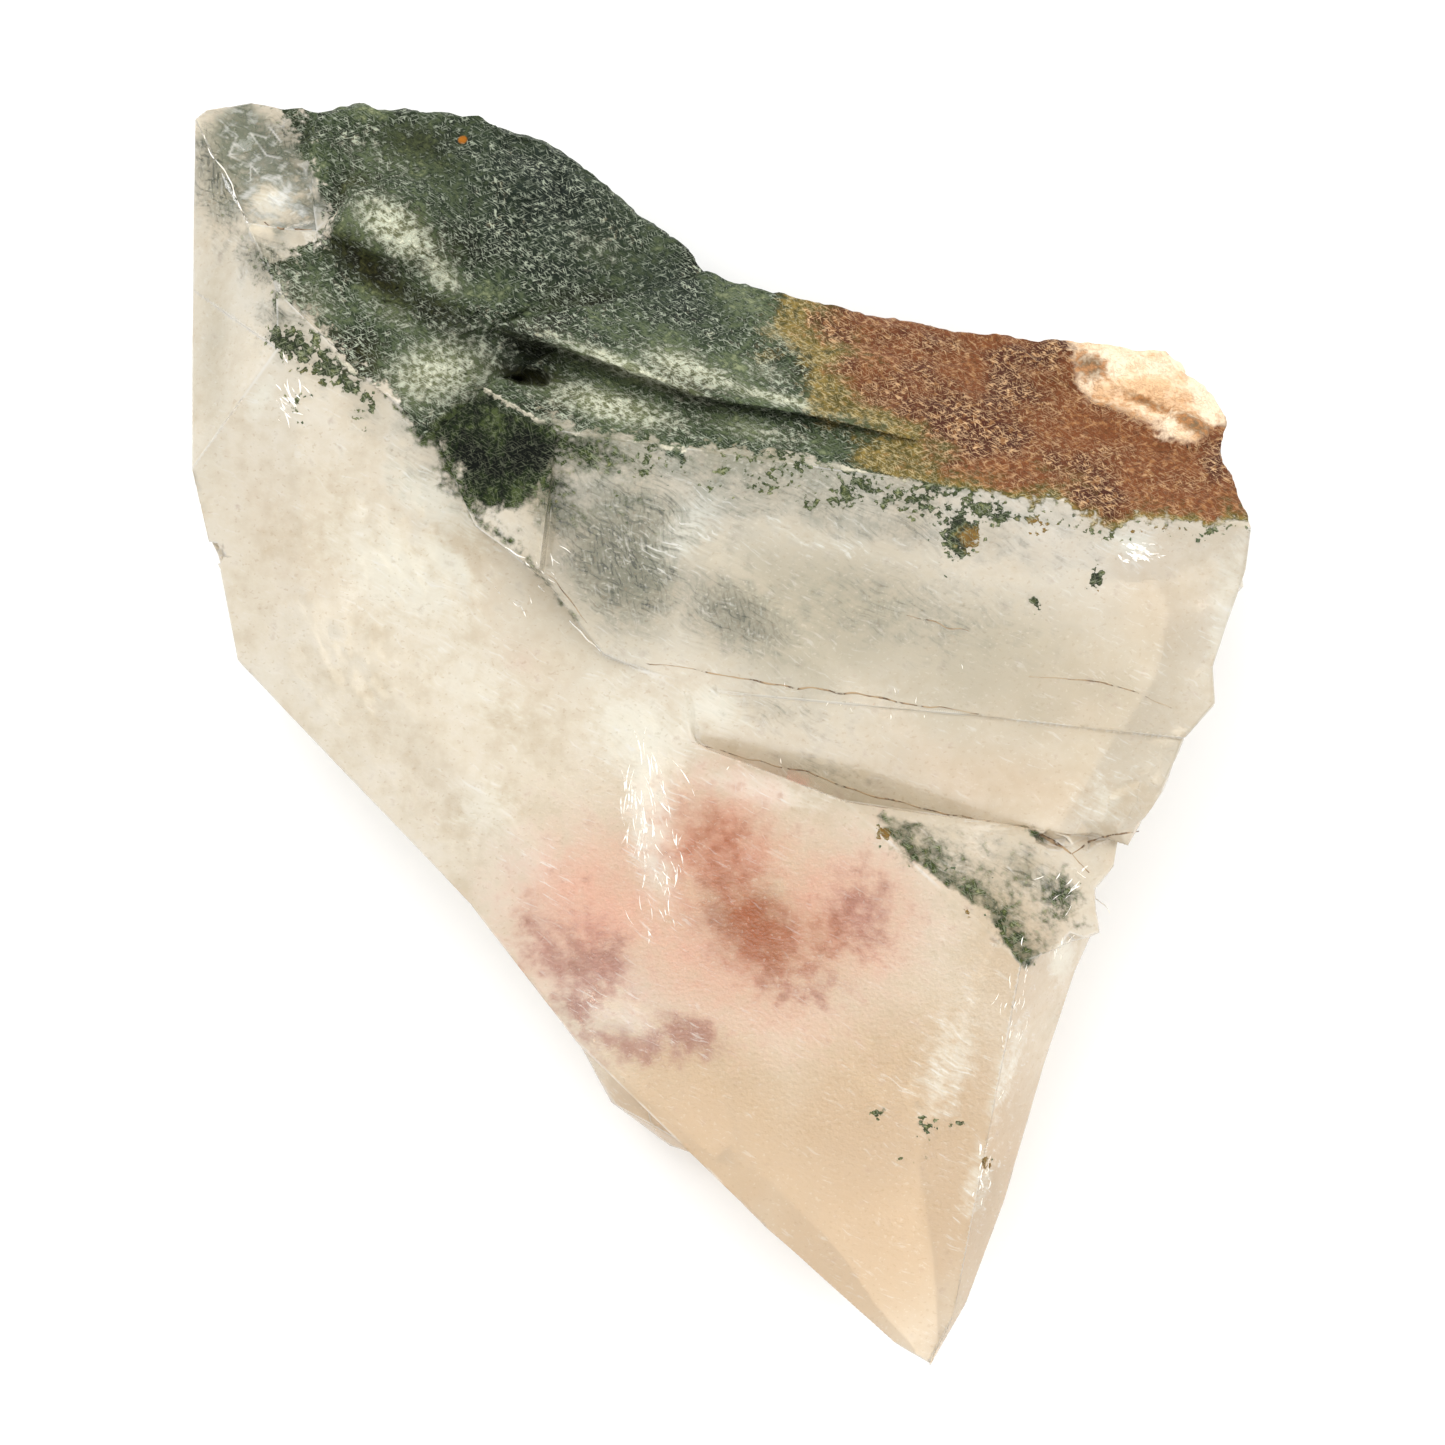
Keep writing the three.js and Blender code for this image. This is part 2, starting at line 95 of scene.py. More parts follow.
# A material's node tree: node() adds any node, with its own settings first and then its sockets
class Graph:
    def __init__(self, name):
        self.material = bpy.data.materials.new(name)
        self.material.use_nodes = True
        self.tree = self.material.node_tree
        self.tree.nodes.clear()
        coordinates = self.node("ShaderNodeTexCoord", output="Object")
        self.place = self.node("ShaderNodeVectorMath", {"operation": "SCALE"},
                               {0: coordinates, "Scale": 1 / metresPerMm})

    def find(self, sockets, key):
        if isinstance(key, int):
            return sockets[key]
        return next(s for s in sockets if key in (s.identifier, s.name))

    def node(self, kind, settings={}, inputs={}, output=0):
        made = self.tree.nodes.new(kind)
        for key, setting in settings.items():
            if key == "stops":
                self.setStops(made.color_ramp, setting)
            else:
                setattr(made, key, setting)
        for key, given in inputs.items():
            socket = self.find(made.inputs, key)
            if isinstance(given, Value):
                self.tree.links.new(given.socket, socket)
            else:
                socket.default_value = given
        return Value(self, self.find(made.outputs, output))

    def setStops(self, ramp, stops):
        while len(ramp.elements) < len(stops):
            ramp.elements.new(0.5)
        for element, (position, colour) in zip(ramp.elements, stops):
            element.position, element.color = position, colour

    # Noise whose lumps measure size millimetres, one number or three; turn spins it about the upright
    def noise(self, size, detail, turn=0.0, shift=0.0, place=None):
        sizes = size if isinstance(size, tuple) else (size, size, size)
        mapped = self.node("ShaderNodeMapping", {"vector_type": "TEXTURE"},
                           {"Vector": place or self.place, "Location": (shift, shift, shift),
                            "Rotation": (0.0, 0.0, np.radians(turn)), "Scale": sizes})
        return self.node("ShaderNodeTexNoise", {}, {"Vector": mapped, "Scale": 1.0, "Detail": detail})

    # Places pushed about by two slow fields, so that straight streaks bend
    def bent(self, amount):
        curd, mid = self.fields("curd mid")
        push = self.node("ShaderNodeCombineXYZ", {}, {"X": curd * amount, "Y": mid * amount})
        return self.node("ShaderNodeVectorMath", {"operation": "ADD"}, {0: self.place, 1: push},
                         output="Vector")

    # The numbers that a mesh holds for each point, by their names
    def fields(self, names):
        return [self.node("ShaderNodeAttribute", {"attribute_name": name}, output="Fac")
                for name in names.split()]

    # low where share is 0, high where it is 1
    def blend(self, share, low, high):
        return self.node("ShaderNodeMix", {"data_type": "RGBA"},
                         {"Factor_Float": share, "A_Color": low, "B_Color": high}, output="Result_Color")

    # Tints laid over a colour one after another, each with the share that it covers
    def over(self, colour, *layers):
        for share, tint in layers:
            colour = self.blend(share, colour, tint)
        return colour

    def ramp(self, share, stops):
        return self.node("ShaderNodeValToRGB", {"stops": stops}, {"Fac": share}, output="Color")

    # Distance in mm
    def bump(self, height, distance, strength=1.0):
        return self.node("ShaderNodeBump", {}, {"Height": height, "Distance": distance * metresPerMm,
                                                "Strength": strength})

    def principled(self, colour, roughness, others={}):
        sockets = {"Base Color": colour, "Roughness": roughness} | others
        return self.node("ShaderNodeBsdfPrincipled", {}, sockets)

    def finish(self, surface):
        output = self.tree.nodes.new("ShaderNodeOutputMaterial")
        self.tree.links.new(surface.socket, output.inputs["Surface"])
        return self.material


# Lens and sensor as on a real camera, the rest in mm; the near and far limits in metres
view = {"lens": 135.0, "sensor": 36.0, "frameWidth": 111.15, "middle": (0.66, 0.62), "level": 15.0,
        "limits": (0.01, 20.0)}
studio = {
    "floorHalf": 1500.0, "floorDrop": 0.02, "floorColour": tone(244, 244, 243), "skyStrength": 1.04,
    "panels": {  # place of the middle in mm, side in mm, watts
        "keyPanel": ((-250, 420, 620), 520, 3.2),
        "sidePanel": ((480, 60, 480), 420, 1.2),
        "frontPanel": ((-120, -520, 420), 420, 0.8),
    },
}


# Looks straight down from where frameWidth at the given level fills the frame
def makeCamera(view):
    data = bpy.data.cameras.new("camera")
    data.lens, data.sensor_width = view["lens"], view["sensor"]
    data.clip_start, data.clip_end = view["limits"]
    camera = bpy.data.objects.new("camera", data)
    distance = view["frameWidth"] * view["lens"] / view["sensor"]
    camera.location = np.array([*view["middle"], view["level"] + distance]) * metresPerMm
    bpy.context.scene.collection.objects.link(camera)
    bpy.context.scene.camera = camera


# A floor just under the specimen, an even sky, and square panels that face the specimen's middle
def makeStudio(studio):
    half, low = studio["floorHalf"], -studio["floorDrop"]
    corners = np.array([(-half, -half, low), (half, -half, low), (half, half, low), (-half, half, low)])
    data = bpy.data.meshes.new("floor")
    data.from_pydata((corners * metresPerMm).tolist(), [], [(0, 1, 2, 3)])
    floor = bpy.data.objects.new("floor", data)
    bpy.context.scene.collection.objects.link(floor)
    graph = Graph("floor white")
    matt = graph.principled(studio["floorColour"], 0.9, {"Specular IOR Level": 0.1})
    data.materials.append(graph.finish(matt))

    world = bpy.data.worlds.new("soft white room")
    world.use_nodes = True
    sky = world.node_tree.nodes["Background"]
    sky.inputs["Color"].default_value = (1.0, 1.0, 1.0, 1.0)
    sky.inputs["Strength"].default_value = studio["skyStrength"]
    bpy.context.scene.world = world

    for name, (middle, side, watts) in studio["panels"].items():
        light = bpy.data.lights.new(name, "AREA")
        light.size, light.energy = side * metresPerMm, watts
        panel = bpy.data.objects.new(name, light)
        place = np.array(middle, float)
        panel.location = place * metresPerMm
        away = place / np.linalg.norm(place)
        panel.rotation_euler = (0.0, np.arccos(away[2]), np.arctan2(away[1], away[0]))
        bpy.context.scene.collection.objects.link(panel)
    bpy.context.scene.view_settings.view_transform = "Standard"


makeCamera(view)
makeStudio(studio)
print("camera, floor and light in place")


# Smooth noise from -1 to 1: random numbers on the corners of a lattice, blended in each cell by
# part * part * (3 - 2 * part) along each axis
def grain(points, size, seed):
    place = points / np.array(size) + seed * 17.31
    cell = np.floor(place).astype(np.int64)
    part = place - cell
    soft = part * part * (3 - 2 * part)
    total = np.zeros(len(points))
    for step in np.ndindex(2, 2, 2):
        weight = np.prod(np.where(np.array(step) == 1, soft, 1 - soft), axis=1)
        key = (cell + np.array(step)) * np.array([73856093, 19349663, 83492791])
        mixed = (key[:, 0] ^ key[:, 1] ^ key[:, 2] ^ (seed * 40503)) * 6364136223846793005
        total += weight * (((mixed >> 33) & 0xFFFF) / 32767.5 - 1)
    return total


# Several noises added to a base, each row: strength, size in mm, seed
def lumps(points, rows, base=0):
    return sum((strength * grain(points, size, seed) for strength, size, seed in rows), base)


# 0 below low, 1 above high, and a soft S between them
def fade(amount, low, high):
    part = np.clip((amount - low) / (high - low), 0, 1)
    return part * part * (3 - 2 * part)


# 1 on a line and falling away beside it: exp(-(distance / width) squared)
def beside(distance, width):
    return np.exp(-(distance / width) ** 2)


# Distance in plan to the nearest side of a line of points
def distanceToLine(points, line):
    nearest = np.full(len(points), 1e9)
    for start, end in zip(np.array(line[:-1], float), np.array(line[1:], float)):
        along = end - start
        share = np.clip((points[:, :2] - start) @ along / (along @ along), 0, 1)
        nearest = np.minimum(nearest, np.linalg.norm(points[:, :2] - start - share[:, None] * along, axis=1))
    return nearest


# Distance in plan to a closed outline, positive inside it: a point is inside when a ray from it
# crosses the sides an odd number of times
def insideOutline(points, outline):
    x, y = points[:, 0], points[:, 1]
    inside = np.zeros(len(points), bool)
    for (ax, ay), (bx, by) in zip(outline, outline[1:] + outline[:1]):
        crosses = (ay > y) != (by > y)
        inside ^= crosses & (x < (bx - ax) * (y - ay) / ((by - ay) or 1.0) + ax)
    edge = distanceToLine(points, outline + outline[:1])
    return np.where(inside, edge, -edge)


# Soft oval spot: exp(-(along / reach) squared - (across / width) squared), turned by an angle
def spot(points, x, y, reach, width, turn=0):
    angle = np.radians(turn)
    offset = points[:, :2] - np.array([x, y])
    along = offset @ np.array([np.cos(angle), np.sin(angle)])
    across = offset @ np.array([-np.sin(angle), np.cos(angle)])
    return np.exp(-(along / reach) ** 2 - (across / width) ** 2)


# The strongest of several spots, each row a spot's values and then its strength
def spots(points, rows):
    return np.max([strength * spot(points, *row) for *row, strength in rows], axis=0)


# A node's loose triangles with equal corners merged, in millimetres
def mergedNode(name):
    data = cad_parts[name].data
    data.calc_loop_triangles()
    points = np.empty(len(data.vertices) * 3)
    data.vertices.foreach_get("co", points)
    points = points.reshape(-1, 3) / metresPerMm
    faces = np.empty(len(data.loop_triangles) * 3, int)
    data.loop_triangles.foreach_get("vertices", faces)
    merged, index = np.unique(np.round(points, 4), axis=0, return_inverse=True)
    faces = index.reshape(-1)[faces].reshape(-1, 3)
    whole = (faces != np.roll(faces, 1, axis=1)).all(axis=1)
    return merged, faces[whole]


# The cross product of two of each face's sides: along its normal, and twice its area long
def faceCrosses(points, faces):
    return np.cross(points[faces[:, 1]] - points[faces[:, 0]], points[faces[:, 2]] - points[faces[:, 0]])


# The same directions, each one long
def unit(directions):
    return directions / np.maximum(np.linalg.norm(directions, axis=1, keepdims=True), 1e-12)


# Each point's normal: the sum of its faces' normals, weighted by their areas
def pointNormals(points, faces):
    cross = faceCrosses(points, faces)
    total = np.zeros_like(points)
    for k in range(3):
        for axis in range(3):
            total[:, axis] += np.bincount(faces[:, k], cross[:, axis], len(points))
    return unit(total)


# One number for each side of each face, the same for the two faces that share it
def sideKeys(faces, count):
    ends = np.sort(np.stack([faces, np.roll(faces, -1, axis=1)], axis=2), axis=2)
    return ends[..., 0] * count + ends[..., 1]


# The sides where two faces meet at more than an angle, as pairs of points
def creasesOf(points, faces, degrees):
    keys = sideKeys(faces, len(points)).reshape(-1)
    order = np.argsort(keys, kind="stable")
    first, second = order[0::2] // 3, order[1::2] // 3
    normals = unit(faceCrosses(points, faces))
    bend = (normals[first] * normals[second]).sum(axis=1)
    sharp = keys[order[0::2]][bend < np.cos(np.radians(degrees))]
    return np.stack([sharp // len(points), sharp % len(points)], axis=1)


# Splits each side longer than its limit at its middle: a face with one, two or three such sides
# becomes two, three or four. The creases are carried along.
def splitLongSides(points, faces, creases, limitOf):
    count = len(points)
    keys = sideKeys(faces, count)
    sides, inverse = np.unique(keys, return_inverse=True)
    inverse = inverse.reshape(-1, 3)
    start, end = sides // count, sides % count
    creased = np.zeros(count, bool)
    creased[creases.reshape(-1)] = True
    middles = (points[start] + points[end]) / 2
    lengths = np.linalg.norm(points[start] - points[end], axis=1)
    long = lengths > limitOf(middles, creased[start] | creased[end])
    number = np.where(long, count + np.cumsum(long) - 1, -1)
    points = np.concatenate([points, middles[long]])

    creaseKeys = np.sort(creases, axis=1) @ np.array([count, 1])
    middle = number[np.searchsorted(sides, creaseKeys)]
    split, whole = middle >= 0, middle < 0
    creases = np.concatenate([creases[whole], np.stack([creases[split, 0], middle[split]], axis=1),
                              np.stack([middle[split], creases[split, 1]], axis=1)])

    cut = number[inverse]
    splits = (cut >= 0).sum(axis=1)
    # turned so that a single split side comes first, and a single whole side last
    lead = np.where(splits == 1, np.argmax(cut >= 0, axis=1), (np.argmin(cut >= 0, axis=1) + 1) % 3)
    turned = (lead[:, None] + np.arange(3)) % 3
    a, b, c = np.take_along_axis(faces, turned, axis=1).T
    m, n, o = np.take_along_axis(cut, turned, axis=1).T
    one, two, three = splits == 1, splits == 2, splits == 3

    def rows(chosen, *corners):
        return np.stack([corner[chosen] for corner in corners], axis=1)

    return points, np.concatenate([
        faces[splits == 0],
        rows(one, a, m, c), rows(one, m, b, c),
        rows(two, m, b, n), rows(two, a, m, n), rows(two, a, n, c),
        rows(three, a, m, o), rows(three, m, b, n), rows(three, o, n, c), rows(three, m, n, o),
    ]), creases


# A mesh object at the origin from arrays in millimetres, with one number per point for each field
def makePiece(name, points, faces, materials, fields={}):
    data = bpy.data.meshes.new(name)
    data.vertices.add(len(points))
    data.vertices.foreach_set("co", (points * metresPerMm).astype(np.float32).reshape(-1))
    corners = faces.shape[1]
    data.loops.add(faces.size)
    data.loops.foreach_set("vertex_index", faces.astype(np.int32).reshape(-1))
    data.polygons.add(len(faces))
    data.polygons.foreach_set("loop_start", np.arange(0, faces.size, corners, dtype=np.int32))
    data.update(calc_edges=True)
    data.validate()
    data.shade_smooth()
    for field, amounts in fields.items():
        data.attributes.new(field, "FLOAT", "POINT").data.foreach_set("value", amounts.astype(np.float32))
    for material in materials:
        data.materials.append(material)
    piece = bpy.data.objects.new(name, data)
    bpy.context.scene.collection.objects.link(piece)
    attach(piece, "root")
    return piece


# Where the chlorite, the rust and the clouds lie, seen from above in millimetres
ground = {
    # markings of the front fade out between two levels; noises: size in mm, seed
    "frontLevels": (9.0, 14.0), "roughLumps": (2.8, 3), "fineLumps": (1.1, 4),
    # noises added to 0.5: strength, size in mm, seed
    "clumps": [(0.35, 3.0, 5), (0.4, 1.3, 6)],
    "slow": {"coarse": [(0.36, 5.0, 21), (0.14, 2.4, 22)], "mid": [(0.34, 2.0, 23), (0.16, 1.0, 24)],
             "curd": [(0.3, 3.4, 25), (0.2, 1.5, 26)]},
    # what changes across the specimen: places along x or y, then values
    "softEdge": ([-38, -30, -22, -16, 0], [2.6, 2.2, 1.2, 0.9, 0.9]),
    "crestReach": ([-17, -8, 6, 20, 34, 40], [5.0, 4.6, 3.6, 2.4, 1.4, 0.8]),
    "crestHaze": ([8, 34], [0.8, 0.24]), "stripStrength": ([8, 12, 15, 19], [0.5, 0.6, 0.85, 0.95]),
    "sharpLow": -26.4,      # the pink cloud ends along this line
    # outlines and lines: x, y
    "green": [
        (-35.2, 50.8), (-31.7, 43.3), (-29.9, 38.3), (-31.8, 37), (-34.8, 36), (-33.1, 33.3),
        (-30.7, 31.3), (-28.7, 28.9), (-26.9, 26.9), (-24.8, 25.3), (-21.8, 23), (-19.4, 25.4),
        (-17.3, 25.6), (-11.7, 22.3), (-1.1, 20.9), (8.9, 19.9), (18.9, 17.7), (30.6, 15.6), (43, 15.2),
        (43, 33), (22, 34), (3.5, 37.4), (-1.1, 41.3), (-8.8, 50), (-18, 52.4), (-29.5, 52)],
    "rust": [
        (8.4, 36.7), (8.8, 31), (9.2, 27.5), (12.6, 23.8), (16, 20.4), (21.4, 17.3), (30.6, 15.3),
        (43, 15), (43, 34.8), (22, 36.3)],
    "rock": [
        (27.1, 33.4), (35.5, 33.4), (41.3, 27.8), (41.9, 22), (35.9, 22.3), (32.8, 23.7), (29.7, 25.6),
        (28, 26.6)],
    "fracture": [
        (-39.6, 46.3), (-36.8, 42.3), (-35.5, 38.7), (-33.9, 37.6), (-30, 37.6), (-29.6, 38.6),
        (-30.5, 42), (-31.6, 43.6), (-34.9, 47.2), (-36.5, 49.5)],
    "crest": [
        (-17.3, 25.6), (-11.7, 22.3), (-7.3, 21.6), (-1, 20.7), (8.9, 19.7), (14.2, 18.5), (18.9, 17.5),
        (25.9, 16), (30.6, 15.1), (40, 15.1)],
    "cap": [
        (-21.1, 22.5), (-19.9, 24.6), (-17.5, 25.8), (-14.9, 24.5), (-12.4, 23), (-11.4, 21.6),
        (-12, 20.4), (-13.4, 19.2), (-15.4, 17.6), (-18, 18.4), (-19.4, 19.4), (-20.3, 20.8)],
    "strip": [
        (-20.9, 22.1), (-19.4, 18.8), (-17.4, 15.4), (-14.6, 13.6), (-12.4, 11), (-10.4, 8.4)],
    "shelf": [
        (12.3, -7), (15.5, -10), (18.2, -12.1), (20.9, -13.8), (22.2, -16.2), (23.3, -17.6)],
    "shelfFace": [
        (11.6, -6.2), (15.5, -10.2), (18.2, -12.3), (20.9, -14), (22.2, -16.4), (23.5, -18.4), (26.6, -16),
        (28.6, -12), (27, -9.4), (20, -7.4)],
    "ridge": [
        (-36.5, 37.5), (-34.5, 34.8), (-30.7, 30.4), (-26.1, 26.2)],
    "ridgeFoot": [
        (-32.6, 29.8), (-30.6, 28.2), (-28.2, 26.6), (-26.2, 24.8)],
    # spots: x, y, reach along and across, turn in degrees, strength
    # paler chlorite; the two long thin spots at (-6.4, 27.2) and (5.4, 24.8) lie along the groove and are
    # painted light that lifts its shade
    "pale": [
        (-24.1, 38.1, 4, 2, -35, 1), (-21, 35.2, 2.6, 1.3, -45, 0.8), (-20.8, 27.2, 4.6, 2.6, 10, 0.95),
        (-31.8, 33.4, 2.4, 3.2, -45, 0.35), (-1, 26.9, 5.6, 1.1, -22, 0.85), (5.2, 30.2, 2, 0.8, -20, 0.9),
        (-7.8, 24.3, 6, 1.4, -14, 1), (3, 22.4, 6, 1, -12, 0.5), (-6.4, 27.2, 7, 0.8, -22, 0.9),
        (5.4, 24.8, 9, 0.6, -13, 0.9), (-11.6, 22.6, 2, 0.9, -20, 0.6), (-2.6, 27.4, 3.4, 1.6, -20, 0.9),
        (3.8, 27, 2.6, 1.2, -20, 0.5), (-30.2, 32.4, 2.6, 1.8, -45, 0.5), (-24.4, 31.4, 3, 1.2, -35, 0.45),
        (-9, 37, 3.4, 1.4, -35, 0.3), (-33.4, 42.4, 2.4, 4, 25, 0.55), (-26, 44, 4, 1.6, -20, 0.3),
        (10, 24.4, 4, 0.8, -12, 0.4)],
    "dark": [
        (-26.2, 35.1, 4.6, 1.2, -38, 0.95), (-21.2, 32, 3.2, 1.1, -30, 0.7),
        (-22.8, 45.4, 3.4, 1.6, -10, 0.4), (-14, 28.8, 3, 0.8, -28, 0.6), (-14, 27, 2.4, 0.7, -14, 1.2),
        (-34, 46.6, 3.4, 0.9, -15, 0.5), (12, 27.4, 2.6, 4, -25, 0.45), (22, 19.4, 4.6, 1, -12, 0.4),
        (-14, 21.2, 2.6, 1.1, -10, 1.3), (-17.6, 20.8, 1.6, 1.6, -30, 1), (-18.4, 24, 1.6, 1, 20, 0.5)],
    "slate": [
        (-12, 41, 9, 6, -35, 1), (-4, 34.6, 5, 2.4, -35, 0.9), (-15.6, 28.6, 4.6, 1.2, -25, 0.7)],
    "orange": [
        (-19.4, 45.6, 0.4, 0.35, 0, 1)],
    "stain": [
        (28.7, 27.8, 1.7, 1.3, -20, 1), (36.4, 23.2, 2.2, 0.9, -30, 1), (33, 25, 3.4, 0.5, -25, 0.8),
        (25, 29.6, 2, 1.4, 0, 0.6), (39.4, 22.6, 1.6, 1.6, 0, 0.9), (30, 24.6, 4, 0.8, -20, 0.6)],
    "flecks": [
        (18.4, 14.6, 1.9, 2.6, 0, 1.2), (28.6, 11.4, 0.9, 1.3, 0, 1.1), (24.2, 15, 1.8, 0.9, -20, 0.9),
        (24.3, 9.5, 0.8, 1.2, 10, 0.95), (5.4, 17.8, 2.2, 1.6, -20, 0.7), (12.9, -7.8, 1.3, 1, -40, 0.9),
        (15.2, -10.4, 1.2, 0.8, -40, 0.7), (21.8, -14.8, 1.8, 1.2, -50, 0.85),
        (26.2, -12.4, 2.2, 1.4, 40, 0.62), (19.2, -13.8, 0.8, 0.4, 0, 0.8),
        (12.3, -29.6, 0.8, 0.7, 0, 1.05), (16.2, -30.4, 2, 1.6, 30, 0.84), (18.6, -30, 1, 0.8, 0, 0.95),
        (14.8, -32.6, 1.6, 0.6, 20, 0.85), (20.9, -33.2, 0.8, 0.7, 0, 1.1),
        (-31.4, 24.8, 1.7, 1.1, 20, 0.9), (-26, 22.8, 2.6, 1, -35, 0.62),
        (-35.6, 29.6, 0.9, 1.3, 60, 0.55), (-22, 19, 0.9, 1.1, 0, 0.5), (-35, 8, 1.6, 0.8, 80, 0.5),
        (-17.2, 14.6, 0.5, 2, 40, 0.5), (-11.6, 18.4, 5, 3, -40, 0.5), (-7.4, 17.2, 3.4, 1.4, -10, 0.6),
        (-0.6, 10.6, 1.4, 0.7, -20, 0.5)],
    # white milky patches; the spots at (31.1, 14) and (26.8, -17.4) are painted glints, those along the
    # narrow right side face near x 18 to 22 are painted highlights, and those at (0, 1.6) and (-1.6, 1.4) are
    # painted light that evens out the shade at the notch
    "mist": [
        (-24.1, 12, 8, 4, -38, 0.8), (-21.5, 17.5, 5, 2, -38, 0.9), (-5.6, -0.4, 5, 3.6, -35, 1),
        (-29, 20, 5, 6, 0, 0.3), (-18, 4, 7, 4, -40, 0.55), (-17.5, -6, 3.5, 3, -45, 0.7),
        (26.8, -17.4, 1.1, 2, -10, 1.1), (17.8, -25.5, 2.8, 6, -15, 0.66), (20.2, -34.6, 1.6, 4, -15, 0.6),
        (3, -4.4, 5.6, 1.5, -12, 0.9), (-13.6, -10.4, 2.6, 2.2, -45, 0.7), (29.6, -5.4, 3, 3, 0, 0.55),
        (-4.8, -6.4, 1.8, 7.4, 6, 1.3), (-20.2, 12.8, 3.4, 1, -42, 1.2), (-1.6, 1.4, 1.6, 2.6, 0, 0.8),
        (-34.4, 25.2, 0.9, 2.2, -30, 0.9), (31.1, 14, 2, 1.1, -10, 1), (-2.2, 15, 4.4, 1.8, 48, 1),
        (8, 14.6, 6, 1.4, -14, 0.5), (0, 1.6, 3, 2, -30, 0.9), (22.4, -26, 1.2, 5, -16, 0.7),
        (-6, -22.6, 5, 2.2, -20, 0.6), (-34.2, 40.4, 2.6, 2.2, 0, 0.8), (38.6, 9, 1.6, 6, -4, 0.7)],
    "warm": [
        (33.4, 8.6, 5, 7, 0, 0.5), (2, -14, 15, 11, -30, 0.8), (13, -34, 12, 15, -20, 1.3),
        (0, -31, 11, 9, -40, 1.2), (28, 2, 11, 7, -8, 0.5), (22, -18, 6, 9, 10, 0.6),
        (-32, 14, 7, 5, -40, 0.25), (-18.6, 12, 3, 6, 35, 0.3), (24, -4, 14, 4, -10, 0.6),
        (-14, 5, 5, 4, -40, 0.3)],
    "blush": [
        (0.2, -8.6, 6.4, 5.8, -10, 0.9), (-10, -14.4, 7.6, 7.4, 30, 0.9), (10.4, -14, 6.6, 6.6, 0, 0.85),
        (1, -17.4, 13, 8, -10, 0.7), (5, -21.4, 7, 3.6, -10, 0.6), (-14.9, 5.4, 2.4, 1.4, -30, 0.25)],
    "amber": [
        (0.2, -8.8, 4.2, 4.2, -40, 0.7), (3.2, -15.2, 5.4, 3.4, -48, 1), (1.6, -12, 3.4, 4, 20, 0.75),
        (8, -15.6, 4.4, 3, 10, 0.6)],
    "mauve": [
        (-9.5, -17.8, 3.4, 4, 10, 0.95), (-6.2, -24.4, 4.6, 1.5, -15, 1), (-13.6, -15.6, 2.4, 3, 45, 0.75),
        (11.2, -14.2, 2.8, 3.6, 0, 0.9), (-10.8, -21.6, 2.4, 1.6, -45, 0.9), (7, -19.4, 4.4, 2.6, 0, 0.55),
        (0.4, -8.2, 2.6, 2.6, 0, 0.35), (-2, -23.4, 3.4, 1.6, -18, 1.15), (-11.8, -17.7, 2, 2.4, 30, 0.9)],
    "ochre": [
        (19.2, 14.4, 1.2, 1.2, 0, 0.8), (24.4, 15, 1.6, 0.8, -20, 1), (29, 10.2, 0.6, 0.5, 0, 1),
        (12.8, -7.9, 0.7, 0.7, 0, 1), (19.3, -13.9, 0.6, 0.4, 0, 1), (20.9, -33.2, 0.8, 0.6, 0, 1),
        (-30.4, 26.6, 2, 0.6, -45, 0.4), (33, 14.8, 3, 0.6, 0, 0.8)],
    "tan": [
        (8, 9, 12, 7, -10, 1), (20, 5, 14, 7, -8, 0.8), (-7, 12, 7, 6, -45, 0.9), (30, 2, 9, 9, 0, 0.55),
        (10, -4.6, 12, 1.6, -14, 0.6), (-38.4, 30, 1.6, 10, 0, 0.5)],
    "grey": [
        (-6.8, 12.6, 5.4, 4.2, -45, 1.3), (-11.6, 16.4, 3.6, 2.4, -50, 1), (-38.2, 43, 2.4, 5.6, 15, 1.2),
        (-34.6, 44.8, 3.6, 3.4, 30, 1.2), (-34.4, 36, 2.6, 1.8, -30, 1), (-31.6, 33, 3, 1.6, -45, 0.9),
        (1.5, 8.8, 5.8, 3, -22, 0.95), (-6, 16.6, 7.6, 3.6, -20, 0.85), (14, 9, 11, 3.6, -8, 0.55),
        (12, 15.6, 16, 2.2, -10, 0.6), (24, -11, 4, 1.8, -30, 0.8), (-36.8, 46, 3.2, 3.4, -30, 0.9),
        (-33, 31, 2.4, 1.4, -45, 0.8), (5, 1.4, 6, 2, -12, 0.5), (8.6, -3, 6, 1, -14, 0.5)],
    "shade": [
        (-13.6, 19.2, 4.6, 2.8, -35, 0.9), (-9.6, 20.8, 4.2, 1.5, -14, 1), (-20, 21.4, 1.5, 2.8, 20, 0.9),
        (-11.4, 17.2, 3.4, 2.2, -40, 0.62), (26.4, -13, 2.2, 2.4, 30, 0.85),
        (22.8, -15.6, 2.4, 1.3, -50, 0.8), (14.8, -9, 2.8, 1, -45, 0.75), (-6, 17, 3, 1.2, -60, 0.4),
        (-37.6, 41, 0.6, 5, 22, 0.4), (24.6, -8, 1.4, 0.35, -30, 1)],
}


